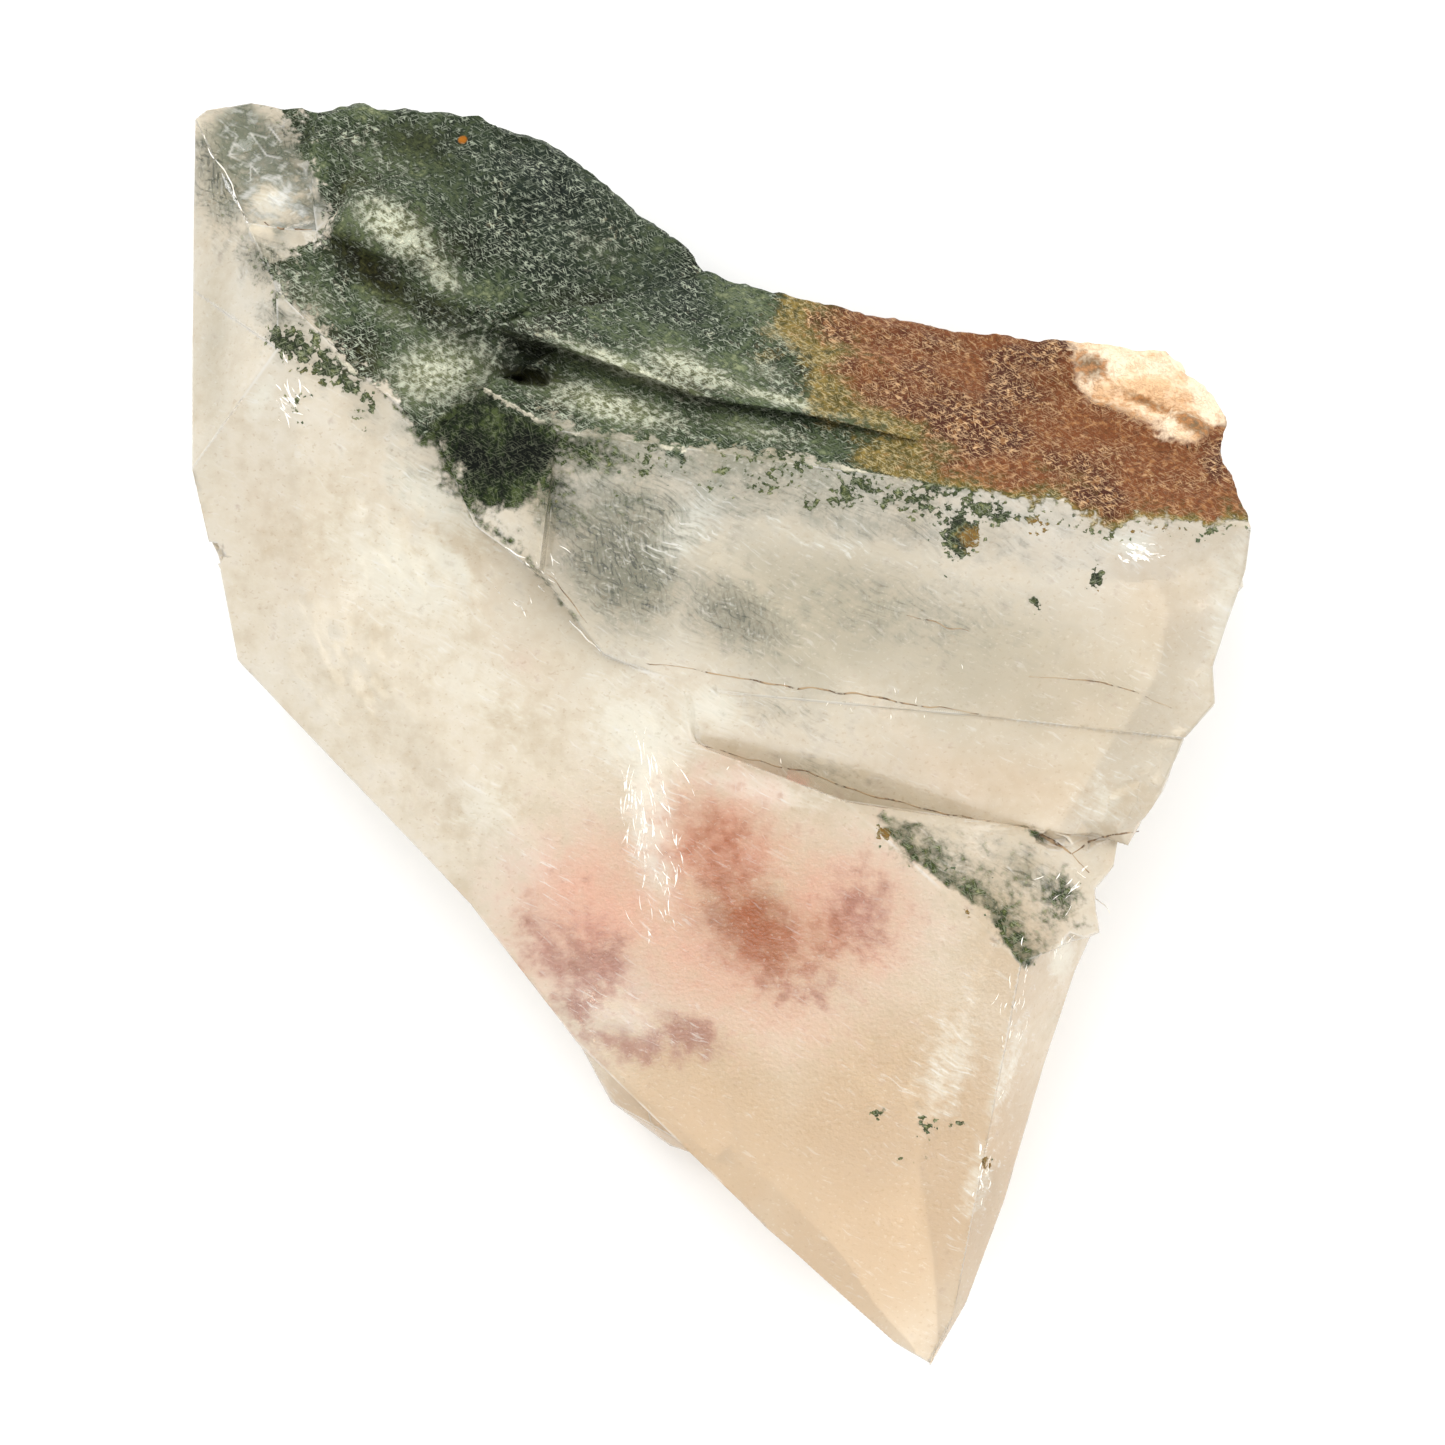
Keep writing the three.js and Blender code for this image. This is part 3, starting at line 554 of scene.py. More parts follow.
# The numbers that the materials read at each point: outlines with ragged edges, lines, and spots
def groundFields(points):
    rough, finer = (grain(points, *ground[name]) for name in ("roughLumps", "fineLumps"))
    front = fade(points[:, 2], *ground["frontLevels"])

    def ragged(name, byRough, byFiner, low, high):
        return fade(insideOutline(points, ground[name]) + byRough * rough + byFiner * finer, low, high)

    soft = np.interp(points[:, 0], *ground["softEdge"])
    green = ragged("green", 0.9, 0.6, -soft, soft)
    away = {name: distanceToLine(points, ground[name]) for name in (
        "crest", "ridge", "ridgeFoot", "shelf", "strip")}
    clumps = lumps(points, ground["clumps"], 0.5)
    reach = np.interp(points[:, 0], *ground["crestReach"]) * (0.5 + clumps)
    fringe = (1 - fade(away["crest"], 0.3 * reach, 1.5 * reach)) * (0.46 + 0.38 * clumps)
    crestHaze = beside(away["crest"], 1.4 * reach) * np.interp(points[:, 0], *ground["crestHaze"])
    crest = beside(away["crest"], 0.28) * fade(points[:, 2], 24.0, 26.0) * 0.8
    ridge = beside(away["ridge"], 0.3) * (0.6 + 0.4 * finer) * front
    foot = (0.74 + 0.3 * clumps) * beside(away["ridgeFoot"], 1.2 + 1.8 * clumps)
    shelf = np.exp(-away["shelf"] / 3.6) * ragged("shelfFace", 0, 0.25, -0.1, 0.2)
    strip = beside(away["strip"], 0.45) * np.interp(points[:, 1], *ground["stripStrength"])
    cap = ragged("cap", 0.9, 1.2, -2.8, 1.2) * front
    above = fade(points[:, 1] - ground["sharpLow"] + 0.5 * finer, -0.5, 0.5)
    clouds = {name: spots(points, ground[name]) * above for name in ("blush", "amber", "mauve")}
    plain = {name: spots(points, ground[name]) for name in (
        "pale", "dark", "slate", "orange", "ochre", "stain", "mist", "warm", "tan", "grey")}
    slow = {name: lumps(points, rows, 0.5) for name, rows in ground["slow"].items()}
    return clouds | plain | slow | {
        "green": green,
        "rust": ragged("rust", 2.0, 1.2, -6.0, 5.0) * green,
        "rock": ragged("rock", 1.2, 0.9, -1.4, 1.2),
        "fracture": ragged("fracture", 0.6, 0.8, -1.0, 1.0),
        "flecks": np.max([fringe, foot, 0.5 * shelf, spots(points, ground["flecks"])], axis=0) * front,
        "shade": np.max([strip, 0.8 * shelf, spots(points, ground["shade"]), 1.6 * cap], axis=0) * front,
        "cap": cap,
        "haze": np.max([crestHaze, shelf, 0.6 * foot], axis=0) * front,
        "crest": np.maximum(crest, ridge),
    }


# The quartz with the rough ground on it: lengths in mm. Crust and wave rows: height, size, seed
quartz = {
    "creaseDegrees": 16.0, "passes": 9,
    "smoothSide": 1.1, "roughSide": 0.5, "creaseSide": 0.3, "lowSide": 1.2, "lowLevel": 6.0,
    "crust": [(0.16, 0.95, 11), (0.09, 0.55, 12)], "wave": [(0.03, 7.0, 13), (0.01, 1.8, 14)],
    "wear": 0.07, "wearLumps": (1.4, 15), "unworn": (31, -6, 5, 5),
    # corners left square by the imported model, eased: x, y, reach, width, turn, strength
    "eased": [(-1.9, 1.8, 2.6, 3.4, 0, 1), (-13.1, 16.4, 1, 4.4, 0, 0.8)],
    "easeLevels": (8.0, 12.0), "easeFrom": 0.02, "easeStep": 0.6, "easePasses": 60,
    "restLevels": (0.0, 0.6),         # the relief fades in above the rest face
    "covered": 0.94, "bare": 0.06,    # above and below these a face has one material alone
}


# 1 on the rough ground, 0 on smooth quartz, with a wavering edge
def roughShare(points):
    edge = insideOutline(points, ground["green"]) + 0.5 * grain(points, *ground["roughLumps"])
    return fade(edge, -0.4, 0.8)


# Moves each point its share of the way to the mean of its neighbours, over and over
def eased(points, faces, share, passes):
    turned = np.roll(faces, 1, axis=1).reshape(-1)
    ends = np.concatenate([faces.reshape(-1), turned])
    others = np.concatenate([turned, faces.reshape(-1)])
    near = share[ends] > 0
    ends, others = ends[near], others[near]
    count = np.maximum(np.bincount(ends, minlength=len(points)), 1)
    for _ in range(passes):
        mean = np.stack([np.bincount(ends, points[others, axis], len(points)) for axis in range(3)], axis=1)
        points = points + share[:, None] * (mean / count[:, None] - points)
    return points


# The node's own facets with shorter sides, moved along their normals by crumbs on the ground, by
# faint waves on the quartz, and inwards by wear on its edges
def makeQuartz(quartz, materials):
    points, faces = mergedNode("quartz_crystal")
    creases = creasesOf(points, faces, quartz["creaseDegrees"])
    middles = (points[creases[:, 0]] + points[creases[:, 1]]) / 2
    creases = creases[roughShare(middles) < 0.5]

    def limitOf(middles, besideCrease):
        plain = np.where(besideCrease, quartz["creaseSide"], quartz["smoothSide"])
        limit = np.where(roughShare(middles) > 0.2, quartz["roughSide"], plain)
        return np.where(middles[:, 2] < quartz["lowLevel"], np.maximum(limit, quartz["lowSide"]), limit)

    for _ in range(quartz["passes"]):
        points, faces, creases = splitLongSides(points, faces, creases, limitOf)
    softened = spots(points, quartz["eased"]) * fade(points[:, 2], *quartz["easeLevels"])
    share = np.where(softened > quartz["easeFrom"], softened, 0) * quartz["easeStep"]
    points = eased(points, faces, share, quartz["easePasses"])
    rough = roughShare(points)
    normals = pointNormals(points, faces)
    worn = np.zeros(len(points))
    worn[creases.reshape(-1)] = 1
    worn *= 1 - rough
    relief = lumps(points, quartz["crust"]) * rough + lumps(points, quartz["wave"]) * (1 - rough)
    relief -= worn * quartz["wear"] * (0.6 + 0.5 * grain(points, *quartz["wearLumps"]))
    relief *= fade(points[:, 2], *quartz["restLevels"])
    points = np.clip(points + normals * relief[:, None], *np.array(cadBox) / metresPerMm)
    print("quartz:", len(faces), "triangles")
    fields = groundFields(points)
    fields["worn"] = worn * (1 - np.maximum(spot(points, *quartz["unworn"]), softened))
    piece = makePiece("quartz_body", points, faces, materials, fields)
    # clear quartz, opaque ground, a strip between them where both show, and the plainer underside
    covered = (fields["green"] - fields["fracture"])[faces].min(axis=1) > quartz["covered"]
    marks = np.max([fields["green"], fields["rock"], fields["flecks"] - 0.3, fields["shade"] - 0.05], axis=0)
    bare = marks[faces].max(axis=1) < quartz["bare"]
    below = unit(faceCrosses(points, faces))[:, 2] < -0.1
    kinds = np.where(covered, 1, np.where(bare, np.where(below, 3, 0), 2))
    piece.data.polygons.foreach_set("material_index", kinds.astype(np.int32))
    print("clear, covered, edge, below:", np.bincount(kinds))
    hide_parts("quartz_crystal")
    return points, pointNormals(points, faces)


# Milky quartz: cream, with white milky patches, some of them painted glints and highlights, grey-green haze,
# and the pink, orange and mauve cloud
def quartzColour(graph):
    mist, warm, tan, blush, amber, mauve, grey, haze, curd, fracture, worn = graph.fields(
        "mist warm tan blush amber mauve grey haze curd fracture worn")
    bent = graph.bent(1.4)
    speck = graph.noise((0.34, 0.28, 0.34), 1.0)
    mottle = graph.noise(1.1, 4.0, shift=11.0)
    falling = graph.noise((1.9, 0.24, 0.8), 4.0, turn=-30.0, shift=3.0, place=bent)
    rising = graph.noise((1.2, 0.22, 0.8), 3.0, turn=-78.0, shift=7.0, place=bent)
    blotch = mottle - 0.5
    grit = speck * 0.5 + mottle * 0.5
    dull = (grey.larger(haze) + blotch * 1.2 + (0.5 - falling) * 0.4).between(0.1, 1.15)
    clustered = (mottle * 1.4 + curd * 0.6).between(0.9, 1.15)
    thread = (1 - falling).between(0.57, 0.63) * (0.1 + grey * 0.8)
    thread += (1 - rising).between(0.55, 0.61) * (grey - 0.4) * 1.4
    milk = graph.ramp(curd * 0.7 + blotch * 0.6 + 0.15, [
        (0.24, tone(227, 213, 187)), (0.5, tone(244, 233, 212)), (0.76, tone(254, 247, 231))])
    return graph.over(
        milk,
        ((warm + curd * 0.4 - 0.2).between(0.0, 1.0) * 0.9, tone(214, 184, 144)),
        ((tan + curd * 0.5 - 0.25).between(0.0, 1.0) * 0.9, tone(192, 182, 154)),
        # white milky patches, and where the spots are glints and highlights, painted light
        ((mist + blotch * 0.9 + (falling - 0.5) * 0.6).between(0.2, 1.0), tone(255, 251, 234)),
        ((blush + blotch * 0.7).between(0.05, 1.05) * 0.9, tone(240, 184, 157)),
        ((mauve + blotch * 1.5 + (speck - 0.5) * 0.4).between(0.15, 1.1) * 0.8, tone(168, 112, 94)),
        ((amber + blotch * 0.9).between(0.1, 1.1), tone(170, 95, 46)),
        (dull * 0.8, graph.blend(haze, tone(112, 114, 90), tone(82, 96, 48))),
        (thread * dull * 0.85, tone(60, 64, 40)),
        ((1 - grit).between(0.52, 0.62) * dull * 0.4, tone(76, 76, 50)),
        (grit.between(0.54, 0.64) * dull * 0.25, tone(242, 236, 220)),
        (rising.between(0.58, 0.66) * (grey * 0.5 + mist * 0.5 - haze * 0.8 - fracture) * clustered * 0.6,
         tone(252, 249, 240)),
        (falling.between(0.59, 0.67) * (mist + 0.25 - fracture) * clustered * 0.9, tone(255, 253, 244)),
        (fracture * (speck * 0.2 + mottle * 0.8 - mist * 0.3 + 0.1).between(0.3, 0.62) * 0.95,
         tone(100, 108, 86)),
        # white on the fracture face, partly its own white and partly painted glints
        (fracture * (mottle * 0.7 + falling * 0.3 + mist * 0.12).between(0.5, 0.72) * 0.7,
         tone(252, 252, 246)),
        (speck.between(0.64, 0.74) * 0.2, tone(255, 247, 226)),
        ((1 - speck).between(0.64, 0.74) * 0.2, tone(170, 140, 98)),
        (worn * curd.between(0.3, 0.6) * 0.7, tone(255, 253, 246))), curd, speck, mottle


# See-through quartz; also gives the noise that flecks are broken up by
def quartzSurface(graph):
    colour, curd, speck, mottle = quartzColour(graph)
    return graph.principled(colour, 0.1, {"IOR": 1.544, "Transmission Weight": 0.5,
                                          "Normal": graph.bump(speck + curd * 2.0, 0.03, 0.6)}), mottle


# The underside: the same quartz with fewer markings
def undersideSurface(graph):
    curd, warm, grey = graph.fields("curd warm grey")
    colour = graph.over(
        graph.blend(curd.between(0.2, 0.8), tone(228, 213, 188), tone(250, 241, 222)),
        (warm * 0.7, tone(240, 213, 180)), (grey * 0.4, tone(176, 172, 150)),
        (graph.noise(0.8, 1.0).between(0.56, 0.7) * 0.5, tone(255, 251, 238)))
    return graph.principled(colour, 0.13, {"IOR": 1.544, "Transmission Weight": 0.55})


# Chlorite ground, dark to pale by its density, with rust and pale rock at the far end; crumbs adds
# the darker flecks beside it. Also gives the noise that flecks are broken up by
def groundSurface(graph, crumbs):
    rust, rock, pale, dark, slate, crest, coarse, mid, orange, stain = graph.fields(
        "rust rock pale dark slate crest coarse mid orange stain")
    fine = graph.noise(0.5, 3.0, shift=21.0)
    # short light dashes where thin stretched noise is high, in three directions, light flecks of the chlorite
    # with painted glints; dark ones where it is low
    strokes = [graph.noise((length, width, 0.4), 0.0, turn, shift) for length, width, turn, shift in (
        (0.66, 0.1, -34.0, 2.0), (0.6, 0.095, 18.0, 5.0), (0.5, 0.095, -76.0, 8.0))]
    lights = [stroke.between(low, low + 0.1) for stroke, low in zip(strokes, (0.58, 0.60, 0.62))]
    grit, lump, wide = fine - 0.5, mid - 0.5, coarse - 0.5
    dashes_and_glints = lights[0].larger(lights[1]).larger(lights[2]) * (fine.between(0.36, 0.6) * 0.6 + 0.4)
    gaps = (1 - strokes[0]).between(0.56, 0.68) * (1 - strokes[1]).between(0.44, 0.6)
    # paler chlorite, and along the groove painted light that lifts its shade
    bright = (pale + grit * 1.2 + lump * 0.4).between(0.1, 1.3)
    density = 0.66 + wide * 0.6 + lump * 0.6 + grit * 1.1 + slate * 0.12 + dark * 0.3
    green = graph.over(
        graph.ramp(density, [
            (0.2, tone(134, 140, 106)), (0.42, tone(84, 94, 66)), (0.62, tone(50, 61, 41)),
            (0.82, tone(25, 34, 21)), (1.0, tone(8, 12, 6))]),
        ((wide * 2.0 - slate * 0.6 + grit).between(0.0, 0.7).larger(dark) * 0.8,
         graph.ramp(density, [(0.2, tone(136, 128, 80)), (0.5, tone(74, 70, 34)), (0.9, tone(22, 20, 4))])),
        (slate * 0.6, graph.blend(fine.between(0.3, 0.7), tone(18, 24, 22), tone(50, 60, 53))),
        (bright * 0.95,
         graph.blend((fine + dashes_and_glints * 0.3).between(0.36, 0.72), tone(122, 122, 90), tone(228, 228, 202))),
        (gaps * (0.5 - lump * 0.8), tone(16, 22, 14)),
        (dashes_and_glints * (0.4 + wide * 0.5 + lump * 0.9 + grit * 1.6 - dark * 0.4), tone(176, 184, 162)))
    mixture = (wide * 1.2 + lump + grit * 1.2 + 0.5).between(0.25, 0.75)
    brown = graph.over(
        graph.blend(mixture, tone(114, 66, 37), tone(72, 38, 26)),
        (fine.between(0.50, 0.66) * 0.4, tone(188, 138, 88)),
        ((1 - fine).between(0.56, 0.68).larger(gaps) * 0.4, tone(50, 28, 18)),
        (dashes_and_glints * (0.42 + wide * 0.6 + lump * 0.7), tone(226, 188, 144)))
    gold = graph.over(
        graph.blend((fine + lump * 0.3).between(0.3, 0.7), tone(74, 66, 28), tone(134, 114, 60)),
        (dashes_and_glints * 0.5, tone(200, 186, 144)))
    stone = graph.over(
        graph.blend((mid + grit * 0.6).between(0.3, 0.8), tone(242, 218, 188), tone(224, 184, 142)),
        ((stain + grit * 1.2).between(0.2, 0.9) * 0.9,
         graph.blend(fine.between(0.35, 0.65), tone(88, 64, 30), tone(168, 114, 66))))
    colour = graph.over(
        green,
        ((rust + grit * 0.4 + lump * 0.2).between(0.06, 0.36), gold),
        ((rust + grit * 0.8 + lump * 0.5).between(0.4, 0.84), brown),
        (orange.between(0.3, 0.6) * 0.9, tone(160, 96, 22)),
        ((rock + grit * 0.9 + lump * 0.3).between(0.3, 0.85), stone),
        ((crest + grit * 1.4).between(0.45, 0.75) * 0.7, tone(232, 224, 200)))
    if crumbs:
        ochre, cap, covered = graph.fields("ochre cap green")
        deep = graph.ramp(fine + lump * 0.8 - dark * 0.24 + 0.08, [
            (0.34, tone(1, 5, 0)), (0.5, tone(14, 24, 6)), (0.64, tone(30, 40, 15)),
            (0.82, tone(68, 78, 44))])
        flake = graph.over(
            graph.ramp(fine, [(0.38, tone(12, 22, 6)), (0.54, tone(38, 50, 22)), (0.66, tone(74, 82, 44)),
                              (0.76, tone(140, 142, 98))]),
            ((ochre.larger(rust) + grit).between(0.3, 0.7) * 0.85,
             graph.blend(fine, tone(70, 40, 10), tone(150, 112, 44))),
            ((cap + grit).between(0.2, 0.7), deep),
            (dashes_and_glints * (0.34 - cap * 0.2), tone(170, 176, 146)))
        colour = graph.blend((1 - covered).between(0.3, 0.8), colour, flake)
    return graph.principled(colour, 0.6, {"IOR": 1.5, "Specular IOR Level": 0.1,
                                          "Normal": graph.bump(fine * 1.2 + dashes_and_glints * 0.3, 0.2)}), fine


# Clear quartz, opaque ground, the two mixed by noise about the ground's edge, and the underside
def quartzMaterials():
    clear, covered, edge, below = (Graph(name) for name in (
        "milky quartz", "chlorite and rust ground", "quartz with flecks", "quartz underside"))
    quartzPart, mottle = quartzSurface(edge)
    groundPart, fine = groundSurface(edge, True)
    green, fracture, flecks, shade, rock = edge.fields("green fracture flecks shade rock")
    crumb = mottle * 0.5 + fine * 0.5 - 0.5
    share = (green - fracture * 0.6 + crumb * 3.0).between(0.3, 0.7)
    share = share.larger((flecks * 0.5 + fine * 0.66 + mottle * 0.34).between(0.87, 0.90) * 0.96)
    share = share.larger((shade + crumb * 2.6).between(0.3, 1.0))
    share = share.larger((rock + crumb * 1.5).between(0.4, 0.6))
    mixed = edge.node("ShaderNodeMixShader", {}, {0: share, 1: quartzPart, 2: groundPart})
    return [clear.finish(quartzSurface(clear)[0]), covered.finish(groundSurface(covered, False)[0]),
            edge.finish(mixed), below.finish(undersideSurface(below))]


# The quartz surface over each place: its nearest upward point, carried on along that point's plane
def surfaceOver(body, places):
    points, normals = body
    up = normals[:, 2] > 0.25
    points, normals = points[up], normals[up]
    heights = []
    for part in np.array_split(places[:, :2], max(1, len(places) // 200)):      # in parts, to spare memory
        apart = ((part[:, None] - points[None, :, :2]) ** 2).sum(axis=2)
        near = apart.argmin(axis=1)
        slope = normals[near, :2] / normals[near, 2:]
        heights.append(points[near, 2] - ((part - points[near, :2]) * slope).sum(axis=1))
    return np.concatenate(heights)


# A square of rows and columns of points as faces with four corners
def gridFaces(rows, columns, start=0):
    corner = start + np.arange(rows - 1)[:, None] * columns + np.arange(columns - 1)
    return np.stack([corner, corner + 1, corner + columns + 1, corner + columns], axis=2).reshape(-1, 4)


# A bent sheet: middle + u * across + v * along, each from -1 to 1, pushed along the sheet's normal
# by noise; its strength falls from 1 at the middle to 0 at the rim as (1 - u^2)(1 - v^2)
def bentSheet(middle, across, along, wave, seed, columns=40, rows=28):
    grid = np.meshgrid(np.linspace(-1, 1, columns), np.linspace(-1, 1, rows))
    u, v = (part.reshape(-1, 1) for part in grid)
    flat = np.array(middle) + u * np.array(across) + v * np.array(along)
    normal = np.cross(across, along)
    size = max(np.linalg.norm(across), np.linalg.norm(along)) * 0.6
    push = lumps(flat, [(wave, size, seed), (0.3 * wave, size * 0.35, seed + 1)])
    rim = (1 - u[:, 0] ** 2) * (1 - v[:, 0] ** 2)
    return flat + push[:, None] * normal / np.linalg.norm(normal), gridFaces(rows, columns), rim


# Several parts as one: their points, their faces numbered on, and the third thing they hold
def joined(parts):
    starts = np.cumsum([0] + [len(points) for points, _, _ in parts[:-1]])
    return (np.concatenate([points for points, _, _ in parts]),
            np.concatenate([faces + start for (_, faces, _), start in zip(parts, starts)]),
            np.concatenate([rim for _, _, rim in parts]))


mainSlope = (0.193, 0.246)      # how much the main face rises along x and along y


# A direction that lies along the main face
def lying(x, y):
    return (x, y, mainSlope[0] * x + mainSlope[1] * y)


# Sheets named by what they are. Each row: middle, half size across, half size along, wave in mm
sheets = {
    "blush_cloud": {
        "colour": tone(222, 140, 118), "light": tone(250, 214, 196), "size": 3.4, "range": (0.40, 0.66),
        "strength": 0.8,
        "rows": [((1.2, -9.6, 15.6), lying(8.5, -3.4), lying(3.2, 8.0), 1.0),
                 ((8.0, -14.0, 15.8), lying(7.0, -3.0), lying(3.0, 6.0), 0.9),
                 ((-7.0, -14.4, 12.4), lying(7.0, -6.0), lying(3.0, 5.0), 0.9)]},
    "amber_cloud": {
        "colour": tone(190, 104, 66), "light": tone(226, 160, 120), "size": 2.6, "range": (0.46, 0.62),
        "strength": 0.85,
        "rows": [((1.4, -11.4, 12.8), lying(5.0, -4.4), lying(2.2, 5.4), 0.9),
                 ((4.0, -15.4, 11.2), lying(5.4, -2.0), lying(1.0, 4.0), 0.8)]},
    "mauve_cloud": {
        "colour": tone(150, 96, 96), "light": tone(206, 166, 164), "size": 1.8, "range": (0.50, 0.62),
        "strength": 0.8,
        "rows": [((-7.6, -20.4, 9.6), lying(5.0, -4.4), lying(2.4, 3.4), 0.6),
                 ((10.6, -14.8, 12.0), lying(3.4, -1.6), lying(1.6, 3.4), 0.6),
                 ((-12.4, -17.2, 9.0), lying(2.2, -3.4), lying(1.8, 2.2), 0.5)]},
    "white_veils": {
        "colour": tone(255, 252, 244), "light": tone(250, 240, 220), "size": (0.9, 2.6, 2.2),
        "range": (0.50, 0.66), "strength": 0.85,
        "rows": [((-4.6, -3.6, 15.0), (3.4, 1.6, 2.2), (-0.6, 7.6, 1.2), 0.7),
                 ((-2.0, -11.0, 13.0), (2.6, 2.4, 3.2), (1.2, -6.6, -1.8), 0.7),
                 ((-22.6, 13.6, 15.0), (7.4, -3.6, 1.0), (2.4, 5.2, 2.0), 0.9),
                 ((-27.0, 6.6, 11.6), (5.0, -6.0, 0.4), (3.0, 3.0, 2.4), 0.9),
                 ((-5.4, -23.0, 9.2), (5.4, -4.4, 0.0), (2.2, 1.6, 1.6), 0.5),
                 ((-3.6, 13.6, 22.6), (4.0, 4.4, 2.6), (2.0, -1.6, 1.2), 0.3),
                 ((9.0, 10.0, 20.4), (7.0, -1.0, 1.2), (1.0, 3.0, 2.6), 0.6),
                 ((26.0, 6.6, 19.6), (7.0, -2.4, 0.8), (0.8, 3.0, 2.8), 0.6),
                 ((14.0, -27.0, 10.0), (4.0, -5.0, 0.6), (3.6, 2.4, 2.2), 0.6)]},
}


# One piece for each kind of sheet, see-through where noise is low and towards its rim
def makeSheets(sheets):
    for order, (name, look) in enumerate(sheets.items()):
        graph = Graph(name.replace("_", " "))
        cloud = graph.noise(look["size"], 3.0, turn=20.0, shift=3.0 * order)
        rim = graph.fields("rim")[0]
        low, high = look["range"]
        alpha = (cloud + 0.22 * (rim - 0.6)).between(low, high) * rim.between(0.0, 0.5) * look["strength"]
        colour = graph.blend(cloud.between(low, high + 0.08), look["light"], look["colour"])
        material = graph.finish(graph.principled(colour, 0.6, {"Alpha": alpha}))
        points, faces, rim = joined([bentSheet(*row, 30 + 7 * order + number)
                                     for number, row in enumerate(look["rows"])])
        makePiece(name, points, faces, [material], {"rim": rim})
    print("sheets inside the quartz:", len(sheets))


# The clear part of the quartz in plan, which slivers and crumbs stay inside
slab = [(-36, 5), (-39, 20), (-39, 33), (-33, 36), (-20, 22), (-10, 20), (30, 15.8), (39, 15.8), (37, 4),
        (31, -9), (29, -16), (25, -27), (22.5, -37), (16.5, -47.5), (11, -45), (2, -36), (-10, -24),
        (-18.5, -13)]

# Bright slivers, white strands in the quartz and at some places painted glints: each bundle is a middle, a
# spread, a direction in degrees, a length, a width, a depth under the surface and a count
slivers = {
    "bundles": [
        # the bundles on the narrow right side face (x 20 to 27, y -17 to -35), at (27, -12.4), (27, -13.6),
        # (31.1, 13.5) and (-32.4, 25.8) are painted glints; the others are white strands in the quartz
        ((-5.6, -3.4), (1.6, 5), -82, 3.4, 0.13, -0.03, 38),
        ((-4.2, -10), (2.2, 6), -76, 1.8, 0.09, -0.03, 34), ((-5.4, -1), (2, 4), -80, 2.4, 0.2, 0.5, 20),
        ((27, -12.4), (1.8, 1.6), 50, 1.4, 0.12, -0.03, 12),
        ((31.1, 13.5), (1.4, 0.6), -20, 1.2, 0.22, -0.03, 34),
        ((-32.4, 25.8), (1, 2.6), -50, 1.4, 0.13, -0.03, 20),
        ((22.4, -22), (1.8, 5), 80, 1.2, 0.1, -0.03, 24),
        ((20.6, -34.4), (0.8, 2.6), 76, 1.1, 0.16, -0.03, 18),
        ((-13.6, 11.8), (2.2, 3), -55, 1.3, 0.1, -0.03, 12),
        ((14.6, 1), (14, 5), 84, 0.6, 0.07, -0.03, 14), ((21.6, -22), (2.6, 5.6), 70, 1.5, 0.16, 0.5, 20),
        ((24, -20), (0.9, 2.2), 78, 1.6, 0.26, 0.4, 8), ((25.2, 0.2), (0.8, 1.6), 84, 1.4, 0.14, 0.5, 8),
        ((26.9, -17.6), (1, 1.8), 80, 1.2, 0.14, -0.03, 20), ((-26, 15), (8, 6), -30, 1.2, 0.1, 0.7, 30),
        ((8, 4), (16, 5), -12, 1.4, 0.08, 0.9, 26), ((14, -30), (7, 7), 60, 1.2, 0.09, 0.7, 26),
        ((2, -20), (9, 5), -38, 1.2, 0.09, 0.8, 26), ((-20, 0), (9, 9), -44, 1.3, 0.08, 0.9, 26),
        ((27, -13.6), (1.6, 2.2), 60, 1.1, 0.2, 0.3, 12)],
    "lengths": (0.35, 1.0), "widths": (0.4, 1.2), "depths": (0.7, 1.3),     # shares of the bundle's own
    "steps": 6, "curl": 0.5, "swing": 14, "inset": 1.5, "seed": 5,
    "colour": tone(255, 254, 250), "shaded": tone(250, 240, 222),
}


# Each sliver is a strip that starts at its place, turns a little as it goes, and is widest half way
def makeSlivers(slivers, body):
    draw = np.random.default_rng(slivers["seed"])
    rows = []
    for middle, spread, heading, length, width, depth, count in slivers["bundles"]:
        rows.append(np.column_stack([
            np.array(middle) + draw.normal(0, 0.5, (count, 2)) * np.array(spread),
            np.radians(heading + draw.normal(0, slivers["swing"], count)),
            length * draw.uniform(*slivers["lengths"], count),
            width * draw.uniform(*slivers["widths"], count),
            depth * draw.uniform(*slivers["depths"], count)]))
    rows = np.concatenate(rows)
    rows = rows[insideOutline(rows, slab) > slivers["inset"]]
    starts, headings, lengths, widths, depths = rows[:, None, :2], *rows[:, 2:, None].transpose(1, 0, 2)
    count, steps = len(rows), slivers["steps"]
    share = np.linspace(0, 1, steps)
    turn = headings + slivers["curl"] * (share - 0.5) * np.sign(draw.normal(0, 1, (count, 1)))
    step = lengths[:, :, None] / (steps - 1) * np.stack([np.cos(turn), np.sin(turn)], axis=2)
    middles = starts + np.cumsum(step, axis=1)
    half = widths / 2 * np.sin(np.pi * np.clip(share, 0.04, 0.96))
    side = np.stack([-np.sin(turn), np.cos(turn)], axis=2) * half[:, :, None]
    plan = np.stack([middles - side, middles + side], axis=2)
    level = surfaceOver(body, middles.reshape(-1, 2)).reshape(count, steps) - depths
    points = np.concatenate([plan, np.repeat(level[:, :, None, None], 2, axis=2)], axis=3).reshape(-1, 3)
    faces = np.concatenate([gridFaces(steps, 2, number * steps * 2) for number in range(count)])
    # white strands, and painted glints at the glint patches
    graph = Graph("slivers and glints")
    colour = graph.blend(graph.noise(0.8, 1.0), slivers["colour"], slivers["shaded"])
    alpha = graph.noise(0.5, 1.0, shift=4.0).between(0.3, 0.6)
    material = graph.finish(graph.principled(colour, 0.3, {"Alpha": alpha}))
    makePiece("slivers_and_glints", points, faces, [material])
    print("slivers:", count)


